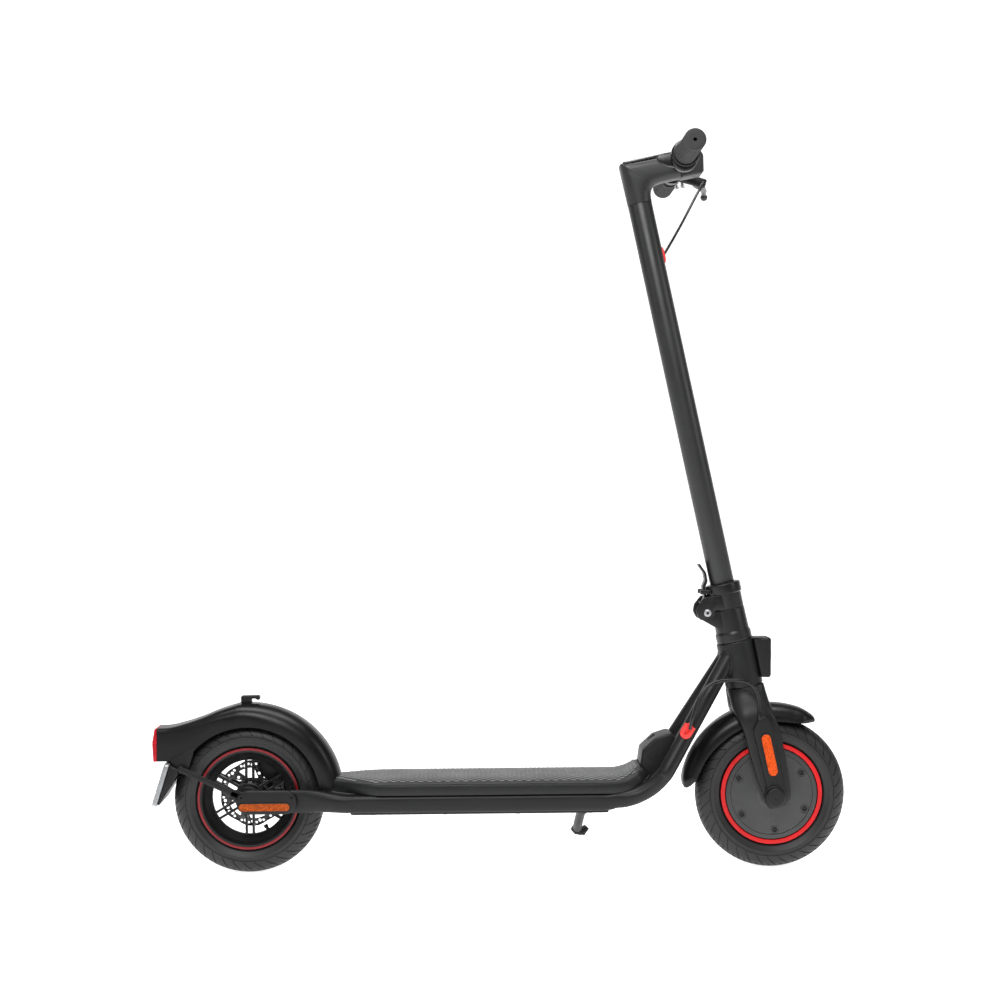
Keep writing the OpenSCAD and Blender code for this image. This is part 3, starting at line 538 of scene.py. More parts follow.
def sheet_metal(outlines, y0, y1, soft=0.2):
    """A flat plate in X and Z with holes: the first outline is its edge, the others are cut through it."""
    curve = bpy.data.curves.new("plate", "CURVE")
    curve.dimensions, curve.fill_mode = "2D", "BOTH"
    curve.extrude, curve.bevel_depth, curve.bevel_resolution = (y1 - y0) / 2 - soft, soft, 1
    curve.offset = -soft
    for outline in outlines:
        line = curve.splines.new("POLY")
        line.points.add(len(outline) - 1)
        for point, (x, z) in zip(line.points, outline):
            point.co = (x, z, 0, 1)
        line.use_cyclic_u = True
    holder = bpy.data.objects.new("plate", curve)
    bpy.context.scene.collection.objects.link(holder)
    mesh = bpy.data.meshes.new_from_object(holder.evaluated_get(bpy.context.evaluated_depsgraph_get()))
    verts = [(v.co.x, (y0 + y1) / 2 + v.co.z, v.co.y) for v in mesh.vertices]
    faces = [list(p.vertices) for p in mesh.polygons]
    bpy.data.objects.remove(holder)
    bpy.data.curves.remove(curve)
    bpy.data.meshes.remove(mesh)
    return verts, faces


def circle(x, z, radius, steps=20):
    return [(x + radius * math.cos(TURN * k / steps), z + radius * math.sin(TURN * k / steps))
            for k in range(steps)]


def polar(radius, degrees):
    return radius * math.cos(math.radians(degrees)), radius * math.sin(math.radians(degrees))


def stadium(a, b, radius, steps=14):
    """Outline of a bar with round ends between two points."""
    a, b = Vector(a), Vector(b)
    turn = math.atan2(b.y - a.y, b.x - a.x)
    ends = []
    for centre, start in ((b, turn - math.pi / 2), (a, turn + math.pi / 2)):
        for k in range(steps + 1):
            t = start + math.pi * k / steps
            ends.append((centre.x + radius * math.cos(t), centre.y + radius * math.sin(t)))
    return ends


# ---- Tyres ----
PITCHES = 36
BEAD_LAP = 3.6
WALL = (6, 5)  # at the crown, at the sides
SIPE_LEAN = 9.5
# Mesh lines across one pitch: degrees round the wheel, in a long sipe, in a short sipe
COLUMNS = [(-0.5, 0, 0), (-0.28, 1, 0), (0.28, 1, 0), (0.5, 0, 0), (1.7, 0, 0), (2.9, 0, 0), (4.2, 0, 0),
           (4.5, 0, 0), (4.75, 0, 1), (5.25, 0, 1), (5.5, 0, 0), (6.6, 0, 0), (7.8, 0, 0), (8.8, 0, 0)]
# Mesh lines round the tyre: degrees of its section, counted from the crown
ROWS = [0, 4, 7.6, 8.6, 11.4, 12.4, 16, 19, 22, 27, 32, 37, 42, 47, 50, 55, 60, 65, 70, 75, 79, 82, 84.5, 85.5,
        87.5, 88.5, 92, 97, 99, 103, 105, 112, 120, 122, 126, 128, 136, 144, 151]
# Cuts of the tread: from degree, to degree, depth
LONG_SIPE, SHORT_SIPE = (27, 79, 1.3), (16, 42, 1.5)
GROOVE, SHOULDER_LINE = (8.6, 11.4, 1.7), (85.5, 87.5, 0.9)
MOULD_RIBS, RIB_HEIGHT = (99, 103, 122, 126), 0.35


def tread_cut(over, in_long, in_short):
    """Depth of the tread's cut at an angle from the crown; a moulded rib stands out, so it is negative."""
    def within(band):
        return band[0] <= over <= band[1]

    if over in MOULD_RIBS:
        return -RIB_HEIGHT
    if within(SHOULDER_LINE):
        return SHOULDER_LINE[2]
    cut = 0.0
    if in_long and within(LONG_SIPE):
        cut = LONG_SIPE[2]
    if in_short and within(SHORT_SIPE):
        cut = SHORT_SIPE[2]
    return max(cut, GROOVE[2]) if within(GROOVE) else cut


def tyre(name, hub, body, node):
    """Hollow tyre whose mesh lines follow the curved sipes and the zigzag grooves of its tread."""
    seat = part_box("rear_rim" if node == "rear_tyre" else "motor_shell")
    rim_r = (seat[1].z - seat[0].z) / 2 / MM
    inner = rim_r - BEAD_LAP
    bead_rise = 0.875
    mid = (inner + bead_rise * TYRE_R) / (1 + bead_rise)
    deep = TYRE_R - mid
    pitch = 360 / PITCHES

    def point(along, radial, sideways, section):
        r, y = mid + radial * math.cos(section), sideways * math.sin(section)
        return (r * math.cos(along), y, r * math.sin(along))

    rings = []
    for k in range(PITCHES):
        for at, in_long, in_short in COLUMNS:
            zigzag = 2 * abs(2 * ((at / pitch * 2) % 1) - 1) - 1
            ring = []
            for v in [-v for v in reversed(ROWS[1:])] + ROWS:
                over = abs(v)
                cut = tread_cut(over, *((in_long, in_short) if v > 0 else (in_short, in_long)))
                tilt = v + math.copysign(2.2 * zigzag, v) if 4 < over < 19 else v
                slant = SIPE_LEAN * min(1, max(0, (over - 14) / 66)) ** 1.5
                ring.append(point(math.radians(k * pitch + at - slant), deep - cut, TYRE_HW - cut,
                                  math.radians(tilt)))
            for v in range(140, -141, -20):
                ring.append(point(math.radians(k * pitch + at - SIPE_LEAN), deep - WALL[0], TYRE_HW - WALL[1],
                                  math.radians(v)))
            rings.append(ring)
    return put(name, skin(rings, close_ends=True), hub, body, TYRE_RUBBER, (node,), crease=38)


# ---- Rear wheel ----
RIM_R = size("rear_rim").z / 2
RIM_HW = 23
HUB_RIGHT, ROTOR_Y = 30, 34


def rear_rim():
    """Rim well, six pairs of spokes and the hub, with a red stripe and the valve."""
    half = [(RIM_R - 22.5, 4.5), (RIM_R - 20, 6.5), (RIM_R - 12, 14), (RIM_R - 8.6, 19.5),
            (RIM_R - 7.5, RIM_HW),
            (RIM_R, RIM_HW), (RIM_R, RIM_HW - 3), (RIM_R - 4, RIM_HW - 3.5)]
    profile = half + [(r, -y) for r, y in reversed(half)]
    well = lathe(rounded(profile, 1.2, 3), 144)
    spoke_end, spoke_gap = RIM_R - 21, 11.5
    bar = prism(rounded([(18, 3.9), (spoke_end, 3.9), (spoke_end, 7.6), (18, 7.6)], 0.5), -6, 6, 0.9)
    twin = join(bar, moved(bar, Matrix.Translation((0, 0, -spoke_gap))))
    hub = lathe(rounded([(9.2, -HUB_RIGHT), (19, -HUB_RIGHT, 1), (22, -HUB_RIGHT + 4, 2), (20, -14, 2),
                         (21, -8, 2),
                         (24, -7, 1), (24, 7, 1), (20.5, 9, 2), (20.5, 22, 2), (24, 25, 1),
                         (24, ROTOR_Y - 0.2, 0.6), (9.2, ROTOR_Y - 0.2)], 0.6, 3), 72)
    put("rear_rim_wheel", join(well, spun(twin, 6, 30), hub), REAR_HUB, "rear_wheel", RIM_PAINT,
        ("rear_rim",))
    stripe = lathe(rounded([(RIM_R - 4.2, RIM_HW - 0.2), (RIM_R - 0.4, RIM_HW - 0.2),
                            (RIM_R - 0.4, RIM_HW + 0.5),
                            (RIM_R - 4.2, RIM_HW + 0.5)], 0.3, 2), 144)
    put("rear_rim_stripe", pair(stripe), REAR_HUB, "rear_wheel", DARK_RED)
    valve = join(disc(2.9, -3, 9, 0.6, 20), disc(3.9, 4, 9, 0.5, 6))
    stand = (Matrix.Rotation(math.radians(62), 4, "Y") @ Matrix.Translation((RIM_R - 22, 0, 0))
             @ Matrix.Rotation(math.radians(90), 4, "Z"))
    put("rear_valve", moved(valve, stand), REAR_HUB, "rear_wheel", CABLE_JACKET)


def rotor():
    """Wavy brake disc with rows of holes, on six slanted arms."""
    outer_r, wave = size("brake_rotor").z / 2, 2.6
    edge = [polar(outer_r - wave * (0.5 + 0.5 * math.cos(math.radians(6 * a))) ** 2, a)
            for a in range(0, 360, 2)]
    outlines = [edge]
    for k in range(6):
        base = 60 * k
        window = [polar(27, base + 8), polar(42.5, base + 26)]
        window += [polar(42.5, base + a) for a in (32, 38, 44, 50, 56, 62)]
        window += [polar(27, base + 48), polar(26, base + 34), polar(26, base + 20)]
        outlines.append(rounded(window, 3, 3))
        for a, r, hole in ((-22, 48.6, 2.0), (-15, 47.2, 2.6), (-7.5, 49.4, 2.0), (0, 47.6, 2.6),
                           (7.5, 49.4, 2.0),
                           (15, 47.2, 2.6), (22, 48.6, 2.0)):
            outlines.append(circle(*polar(r, base + 30 + a), hole, 14))
        outlines.append(circle(*polar(35, base + 11), 2.4, 14))
    outlines.append(circle(0, 0, 12.5, 40))
    shape = sheet_metal(outlines, ROTOR_Y, ROTOR_Y + 2, 0.15)
    put("brake_disc", shape, REAR_HUB, "rear_wheel", ROTOR_STEEL, ("brake_rotor",), crease=25)
    bolt = moved(socket_head(4, ROTOR_Y + 2, ROTOR_Y + 4), Matrix.Translation((19.5, 0, 0)))
    put("disc_bolts", spun(bolt, 6, 30), REAR_HUB, "rear_wheel", DARK_STEEL)


def socket_head(radius, low, high, deep=1.2):
    """Round screw head along Y with a hexagon recess in its high end."""
    n = 24
    hexagon = []
    for k in range(n):
        a = TURN * k / n
        reach = radius * 0.5 / math.cos((a + math.pi / 6) % (math.pi / 3) - math.pi / 6)
        hexagon.append((reach * math.cos(a), reach * math.sin(a)))

    def ring(r, y):
        return [(r * math.cos(TURN * k / n), y, r * math.sin(TURN * k / n)) for k in range(n)]

    recess = [[(x, y, z) for x, z in hexagon] for y in (high, high - deep)]
    return skin([ring(radius, low), ring(radius, high - 0.4), ring(radius - 0.4, high), *recess])


def caliper():
    """Mechanical caliper on the left arm: body slotted for the disc, and mounting lug with bolts."""
    at = REAR_HUB @ Matrix.Rotation(math.radians(-48), 4, "Y")
    body = prism(rounded([(36, -26), (52, -28), (66, -16), (66, 14), (56, 27), (38, 24), (34, 8)], 7), 26.4, 44,
                 2.2)
    piece = put("caliper_body", body, at, "frame", FINE_METAL, ("brake_caliper",))
    slot = prism([(0, -60), (57.5, -60), (57.5, 60), (0, 60)], ROTOR_Y - 1, ROTOR_Y + 3, 0)
    carve(piece, slot, at)
    lug = prism(stadium((46, -17), (56, -34), 6.2), ROTOR_Y + 9.5, 47.9, 0.6)
    bolts = join(*[moved(socket_head(4, 44, 46.2), Matrix.Translation(p)) for p in ((58, 0, 8), (58, 0, -14))])
    put("caliper_lug", join(lug, bolts), at, "frame", DARK_STEEL)


# ---- Front wheel ----
BARREL_R = RIM_R - 8
SCREW_R = BARREL_R - 16


def front_rim():
    """Rim of the hub motor, with the red ring on each side."""
    half = [(BARREL_R - 22, 13.5), (BARREL_R - 22, 18), (BARREL_R + 0.6, 18), (BARREL_R + 0.6, RIM_HW - 0.6),
            (RIM_R, RIM_HW - 0.6), (RIM_R, RIM_HW - 3.4), (RIM_R - 4, RIM_HW - 4), (RIM_R - 4, 0)]
    profile = half + [(r, -y) for r, y in reversed(half[:-1])] + [(BARREL_R, -13.5), (BARREL_R, 13.5)]
    put("motor_rim", lathe(rounded(profile, 0.5, 2), 144), FRONT_HUB, "front_wheel", RIM_PAINT,
        ("motor_shell",))
    low, high = RIM_HW - 1.5, RIM_HW + 0.6
    ring = lathe(rounded([(BARREL_R + 0.8, low), (RIM_R - 0.2, low), (RIM_R - 0.2, high, 0.8),
                          (BARREL_R + 0.8, high, 0.8)], 0.3, 3), 160)
    put("front_rim_ring", pair(ring), FRONT_HUB, "front_wheel", RED_PAINT)


def motor_cover():
    """Domed cover with an inset line, six bossed screw pockets and a raised centre."""
    out = 24
    profile = rounded([(6.1, 19.1), (BARREL_R - 0.6, 19.1), (BARREL_R - 0.6, out - 0.6, 1),
                       (BARREL_R - 3.5, out, 0.5),
                       (SCREW_R + 8.3, out + 0.2, 0), (SCREW_R + 8.1, out - 1.2, 0),
                       (SCREW_R + 7.3, out - 1.2, 0),
                       (SCREW_R + 7.1, out + 0.2, 0), (40, out + 0.9, 8), (24, out + 1.4, 2),
                       (21.5, out + 2.9, 1),
                       (6.1, out + 2.9)], 0.4, 3)
    for side, name in ((1, "left"), (-1, "right")):
        shape = lathe(profile, 160)
        at = FRONT_HUB if side > 0 else FRONT_HUB @ Matrix.Scale(-1, 4, (0, 1, 0))
        piece = put("motor_cover_" + name, shape, at, "front_wheel", HUB_PAINT,
                    ("motor_covers",) if side > 0 else ())
        trench = lathe([(6.3, out - 1.1), (7.2, out - 1.1), (7.2, out + 3), (6.3, out + 3)], 32)
        pocket = disc(4.6, out - 2.6, out + 5, 0, 32)
        tools = spun(moved(join(trench, pocket), Matrix.Translation((SCREW_R, 0, 0))), 6, 34.5)
        carve(piece, tools, at)
    head = moved(socket_head(3.9, 21, 22.8), Matrix.Translation((SCREW_R, 0, 0)))
    put("motor_cover_screws", pair(spun(head, 6, 34.5)), FRONT_HUB, "front_wheel", DARK_STEEL,
        ("cover_screws",))


def axle_caps():
    """The fork's round end caps, the axle with its nuts, and the windings inside the motor."""
    cap = lathe(rounded([(0.01, 64), (14.6, 64), (15.6, 66, 1), (15.6, 67.4, 0.8), (13.8, 69, 1.4),
                         (0.01, 69.4, 6)], 0.6, 4), 72)
    rim = lathe(rounded([(15.5, 58.2), (18.6, 58.2), (18.2, 61, 1), (16.6, 62.2, 1), (15.5, 62)], 0.5, 3), 72)
    bar = join(disc(6, -58, 58), pair(disc(9, 28, 37.7)), pair(disc(9, 58.1, 64, 0.6, 6)))
    put("front_axle_caps", pair(join(cap, rim)), FRONT_HUB, "fork", PLASTIC)
    put("front_axle", bar, FRONT_HUB, "fork", STEEL, ("motor_stator",))
    stator = join(disc(48, -13, 13, 1), pair(disc(11, 13, 18.5)))
    put("motor_windings", stator, FRONT_HUB, "fork", COPPER)


# ---- Fenders ----
def shell(crown, skirt, half_width, shoulder, wall=2.6):
    """A fender's skin: an upturned channel between a crown line and a skirt line of the side view."""
    count = len(crown)
    rings = []
    for i in range(count):
        top, low = Vector(crown[i]), Vector(skirt[i])
        tall = (top - low).length
        up = (top - low).normalized()
        along = i / (count - 1)
        turn = min(shoulder(along), tall * 0.95)
        section = []
        for thickness in (0, wall):
            reach, crest = half_width(along) - thickness, tall - thickness
            radius = max(turn - thickness * 0.4, 1)
            half = [(reach, 0.0), (reach, (crest - radius) * 0.5)]
            for k in range(9):
                a = math.pi / 2 * k / 8
                half.append((reach - radius * 1.15 * (1 - math.cos(a)), crest - radius * (1 - math.sin(a))))
            spare = half[-1][0]
            half[-1] = (spare, crest)
            half += [(spare * 0.5, crest)]
            line = half + [(0.0, crest)] + [(-y, h) for y, h in reversed(half)]
            section += line[::-1] if thickness else line
        points = [(low + up * h, y) for y, h in section]
        rings.append([(p.x, y, p.y) for p, y in points])
    return skin(rings)


def arc(radius, start, stop, steps):
    return [polar(radius, start + (stop - start) * k / steps) for k in range(steps + 1)]


def curve_through(points, steps):
    """Evenly spread points of a smooth curve in the side view."""
    dense = smooth_path([(x, 0, z) for x, z in points], 24)
    lengths = np.cumsum([0] + [(b - a).length for a, b in zip(dense, dense[1:])])
    marks = np.linspace(0, lengths[-1], steps + 1)
    return [(float(np.interp(m, lengths, [p.x for p in dense])),
             float(np.interp(m, lengths, [p.z for p in dense])))
            for m in marks]


TAIL_X = in_frame(REAR_HUB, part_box("rear_fender")[0]).x
TAIL_TOP = in_frame(REAR_HUB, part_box("tail_lens")[1]).z + 0.5
TAIL_LOW = in_frame(REAR_HUB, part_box("tail_lens")[0]).z - 2


def rear_fender():
    """Arch over the wheel that runs out into a straight tail."""
    crown_r, skirt_r = in_frame(REAR_HUB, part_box("rear_fender")[1]).z, TYRE_R - 5
    start, summit, skirt_end = 7, 96, 147
    crown = arc(crown_r, start, summit, 40)
    x, z = crown[-1]
    crown += curve_through([(x, z), (x - 32, z - 10), (x - 59, z - 21), (x - 86, z - 30), (x - 112, z - 36.5),
                            (TAIL_X, TAIL_TOP)], 26)[1:]
    skirt = arc(skirt_r, start, summit, 40)
    skirt += arc(skirt_r, summit, skirt_end, 16)[1:]
    a, b = Vector(skirt[-1]), Vector((TAIL_X, TAIL_LOW))
    skirt += [tuple(a.lerp(b, k / 10)) for k in range(1, 11)]

    def width(t):
        return 36 + 1.5 * math.sin(math.pi * min(t / 0.6, 1)) - 5 * max(0, (t - 0.7) / 0.3) ** 2

    def shoulder(t):
        return 27 - 18 * min(1, max(0, (t - 0.45) / 0.45))

    put("rear_fender_shell", shell(crown, skirt, width, shoulder), REAR_HUB, "frame", FENDER_PLASTIC,
        ("rear_fender",), crease=40)
    back = prism(rounded([(TAIL_X, TAIL_LOW), (TAIL_X + 3, TAIL_LOW), (TAIL_X + 3, TAIL_TOP - 0.5),
                          (TAIL_X, TAIL_TOP - 0.5)], 0.3), -29, 29, 0.5)
    foot = prism(rounded([(130, 20), (167, 21), (167.6, 26), (150, 27), (134, 30)], 1.5), -28, 28, 1)
    lug = prism(rounded([(-126, TAIL_LOW + 4, 2), (-84, TAIL_LOW + 26, 4), (-94, 57, 6), (-101, 46, 6),
                         (-112, 44, 6), (-118, 54, 8)], 3), 32.6, 36.2, 1)
    put("fender_back_plate", join(back, foot, pair(lug)), REAR_HUB, "frame", PLASTIC)


def front_fender():
    """Short arch over the front tyre, with both ends drawn in."""
    outer = in_frame(FRONT_HUB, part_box("front_fender")[1]).z - 0.5
    angles = np.linspace(58, 176, 73)
    depth = np.interp(angles, (58, 59, 61, 64, 68, 74, 84, 114, 132, 149, 162, 170, 174, 176),
                      (4, 7.5, 13, 18.5, 23, 26.5, 28.5, 30, 30, 26.5, 24, 20, 13, 4.5))
    drop = np.interp(angles, (58, 59, 61, 65, 70, 166, 172, 175, 176), (7, 4.6, 2.6, 1, 0, 0, 0.8, 3, 5))
    crown = [polar(outer - d, a) for d, a in zip(drop, angles)]
    skirt = [polar(outer - d - h, a) for d, h, a in zip(drop, depth, angles)]

    def width(t):
        return 33 * min(1, t / 0.09 + 0.2) ** 0.45 * min(1, (1 - t) / 0.07 + 0.25) ** 0.45

    def shoulder(t):
        return 25.0

    put("front_fender_shell", shell(crown, skirt, width, shoulder, 2.2), FRONT_HUB, "fork", FENDER_PLASTIC,
        ("front_fender",), crease=40)


def tail_parts():
    """Red tail lens and its black bezel."""
    lens = [(TAIL_X - 0.4, TAIL_LOW - 1, 1), (TAIL_X - 0.4, TAIL_TOP + 0.4, 1),
            (TAIL_X - 4.5, TAIL_TOP - 0.6, 4),
            (TAIL_X - 8.6, (TAIL_TOP + TAIL_LOW) / 2 + 3, 30), (TAIL_X - 7, TAIL_LOW - 1.4, 3)]
    put("tail_lens_red", prism(rounded(lens, 2, 5), -27, 27, 1.6), REAR_HUB, "frame", TAIL_RED,
        ("tail_lens",))
    ribs = []
    for z in (TAIL_LOW + 1, TAIL_TOP - 2.6):
        bar = rounded([(TAIL_X - 0.6, z), (TAIL_X + 2.2, z), (TAIL_X + 2.2, z + 1.2), (TAIL_X - 0.6, z + 1.2)],
                      0.3)
        ribs.append(prism(bar, -28.4, 28.4, 0.3))
    put("tail_lens_bezel", join(*ribs), REAR_HUB, "frame", PLASTIC)


def hook():
    """Latch post on the fender that holds the folded stem."""
    base = in_frame(REAR_HUB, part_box("rear_fender")[1]).z
    top = in_frame(REAR_HUB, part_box("fender_hook")[1]).z
    outline = rounded([(-12.5, base - 2.5, 0.5), (5, base - 2.5, 0.5), (4.4, top - 5, 1.5),
                       (11.5, top - 5.2, 1),
                       (13.6, top - 7.2, 0.8), (17.4, top - 7.2, 0.8), (18.4, top - 3.5, 1.2), (17, top, 1.4),
                       (-11.5, top - 0.4, 1.6), (-13, top - 2.5, 0.8)], 1, 4)
    put("fold_hook", prism(outline, -7, 7, 1.3), REAR_HUB, "frame", PLASTIC, ("fender_hook",))


def plate_parts():
    """Blank plate on a tilted bracket under the tail."""
    tilt, half_wide, tall = math.radians(17.4), 49.6, 71.5
    at = ROAD @ Matrix.Translation((-128, 0, REAR.z / MM + 61)) @ Matrix.Rotation(tilt, 4, "Y")
    outline = rounded([(-half_wide, -tall), (half_wide, -tall), (half_wide, 0), (-half_wide, 0)], 5, 5)
    flat = prism(outline, -2.2, 5.6, 0.8)
    plate = [(-y, x, z) for x, y, z in flat[0]], flat[1]
    put("rear_plate", plate, at, "frame", PLATE_GREY, ("number_plate",))
    side = rounded([(2.3, -68, 1), (6, -68, 2), (7.4, -61, 2), (20.5, -10, 3), (18, -3.5, 3), (2.3, -0.6, 1)],
                   1)
    put("plate_bracket", prism(side, -46, 46, 2), at, "frame", PLASTIC, ("plate_holder",))


def stays():
    """Struts from the rear axle up to the fender's sides."""
    upper_x, upper_z = -107, 53
    bar = stadium((-16, 9.5), (upper_x, upper_z), 4.6)
    eye = stadium((0, 0), (-18, 10), 9)
    pin = moved(disc(5.5, 36, 47.6, 0.8, 32), Matrix.Translation((upper_x, 0, upper_z)))
    put("fender_struts", pair(join(prism(eye, 44.1, 47.8, 0.8), prism(bar, 43.8, 47.8, 1), pin)), REAR_HUB,
        "frame",
        PLASTIC, ("fender_stays",))


# ---- Rear arms ----
RAIL_LOW = in_frame(ROAD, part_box("frame_rail_left")[0]).z
TRAY_REAR = in_frame(ROAD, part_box("deck_tray")[0]).x


def rear_arms():
    """Arms from the frame tubes to the axle, with the axle covers and their side reflectors."""
    z = REAR.z / MM
    stations = [(-15.5, z - 2, -15.5, z + 2, 54, 4, 2), (-13, z - 12, -13, z + 12, 54, 5.6, 4),
                (0, z - 17, 0, z + 17, 54, 5.9, 5), (50, z - 18, 50, z + 18, 54, 5.9, 5),
                (84, z - 18, 84, z + 19, 54.4, 6.4, 4), (108, z - 17.4, 108, z + 18.6, 56.4, 9.6, 3),
                (132, RAIL_LOW - 4.4, 132, z + 15.6, 59, 13, 2.8),
                (158, RAIL_LOW - 5, 158, RAIL_LOW + 23.6, 61.4, 14.2, 3.4),
                (TRAY_REAR + 0.8, RAIL_LOW - 4.8, TRAY_REAR + 0.8, RAIL_LOW + 23.2, RAIL_Y, 13.1, 4.6)]
    arm = body_of(stations, 48, 5)
    put("rear_arm_shell_left", arm, ROAD, "frame", FRAME_PAINT, ("rear_arm_left",))
    put("rear_arm_shell_right", mirrored(arm), ROAD, "frame", FRAME_PAINT, ("rear_arm_right",))
    back, front = (5, 1), (64, 1)
    cover = prism(stadium(back, front, 19.6, 18), 60.1, 68.9, 3.6, 5)
    seat = prism(stadium(back, front, 18, 18), 58, 60.3, 0.4)
    put("axle_cover_caps", pair(join(cover, seat)), REAR_HUB, "frame", PLASTIC,
        ("rear_axle_covers",))
    screw = socket_head(3.4, 68.6, 69.7, 0.8)
    screws = join(*[moved(screw, Matrix.Translation(at)) for at in ((-7.5, 0, 10), (75, 0, 9))])
    put("axle_cover_screws", pair(screws), REAR_HUB, "frame", DARK_STEEL)
    reflector("rear_side_reflector", (-4, -6.5), (66, -6.5), 7, 68.6, 71, REAR_HUB, "frame", DARK_AMBER,
              "rear_side_reflectors")


def reflector(name, a, b, radius, low, high, place, body, material, node):
    """Prismatic strip: a bed with raised facets inside a thin black rim, on both sides."""
    bed = prism(stadium(a, b, radius - 0.9), low, high - 0.9, 0.3)
    a, b = Vector(a), Vector(b)
    way = (b - a).normalized()
    across = Vector((-way.y, way.x))
    cell, margin = 2.3, 2.3
    half = cell * 0.62
    facets = []
    for i in range(int(((b - a).length + 2 * radius) / cell) + 1):
        for j in range(-4, 5):
            s, t = -radius + i * cell, j * cell + (cell / 2 if i % 2 else 0)
            past_end = max(0, -s, s - (b - a).length)
            if math.hypot(past_end, t) > radius - margin:
                continue
            c = a + way * s + across * t
            base = [c + way * half * u + across * half * v for u, v in ((1, 0), (0, 1), (-1, 0), (0, -1))]
            verts = [(p.x, high - 1.3, p.y) for p in base] + [(c.x, high - 0.1, c.y)]
            facets.append((verts, [[0, 1, 4], [1, 2, 4], [2, 3, 4], [3, 0, 4], [3, 2, 1, 0]]))
    outer, inner = (stadium(a, b, radius - d) for d in (0, 0.9))
    edge = skin([[(x, y, z) for x, z in ring] for ring, y in
                 ((outer, low), (outer, high - 0.4), (inset(outer, 0.4), high - 0.05), (inner, high - 0.4),
                  (inner, low))], close_ends=True)
    put(name, pair(join(bed, *facets)), place, body, material, (node,), crease=10)
    put(name + "_rim", pair(edge), place, body, PLASTIC)


# ---- Deck and frame ----
DECK_HW = size("deck_top").y / 2
DECK_BACK = in_frame(ROAD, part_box("deck_top")[0]).x
DECK_FRONT = in_frame(ROAD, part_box("deck_top")[1]).x
PLATE_Z = in_frame(ROAD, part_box("deck_top")[1]).z
MAT_Z = in_frame(ROAD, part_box("deck_mat")[1]).z
BEND_X = DECK_FRONT - 32
RAIL_Y = (in_frame(ROAD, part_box("frame_rail_left")[1]).y) - 13.5


CURL_R = 62
DECK_WIDTHS = ((DECK_BACK - 30, 30), (DECK_BACK - 22, 35), (DECK_BACK - 6, 46), (DECK_BACK + 16, 62),
               (DECK_BACK + 32, 71),
               (DECK_BACK + 48, 75.6), (DECK_BACK + 64, 77), (BEND_X - 14, 77), (BEND_X, 76), (BEND_X + 20, 70),
               (BEND_X + 38, 60),
               (BEND_X + 50, 46))


def deck_point(along, y, rise):
    """A point on the deck, flat as far as the bend and then curling up in front of the neck."""
    if along <= BEND_X:
        return (along, y, PLATE_Z + rise)
    a, r = (along - BEND_X) / 62, 62 - rise
    return (BEND_X + r * math.sin(a), y, PLATE_Z + CURL_R - r * math.cos(a))


def crowned(y, width):
    """Extra height of the deck's gently domed top."""
    return 4.2 - 6.6 * min(1, abs(y) / width) ** 4


def deck_slab(shrink, low, high, soft):
    """A slab that follows the deck's plan and bend, with rounded rims."""
    rows = []
    first, last = DECK_WIDTHS[0][0] + shrink, DECK_WIDTHS[-1][0] - shrink
    marks = [first + (last - first) * (1 - math.cos(math.pi * k / 90)) / 2 for k in range(91)]
    for u in marks:
        w = float(np.interp(u, *zip(*DECK_WIDTHS))) - shrink * (1 + 0.35 * (u < DECK_BACK + 40))
        ring = []
        for dy, dz in ((0, soft), (soft * 0.3, soft * 0.3), (soft, 0)):
            ring.append((w - dy, low + dz))
        ring += [(w * k / 8, low) for k in range(7, -8, -1)]
        ring += [(-(w - dy), low + dz) for dy, dz in ((soft, 0), (soft * 0.3, soft * 0.3), (0, soft))]
        top = [(-(w - dy), high - dz) for dy, dz in ((0, soft), (soft * 0.3, soft * 0.3), (soft, 0))]
        lift = [(y, z + crowned(y, w + shrink)) for y, z in
                top + [(w * k / 8, high) for k in range(-7, 8)] + [(-y, z) for y, z in reversed(top)]]
        if low > -1:
            ring = [(y, z + crowned(y, w + shrink)) for y, z in ring]
        rows.append([deck_point(u, y, z) for y, z in ring + lift])
    return skin(rows)


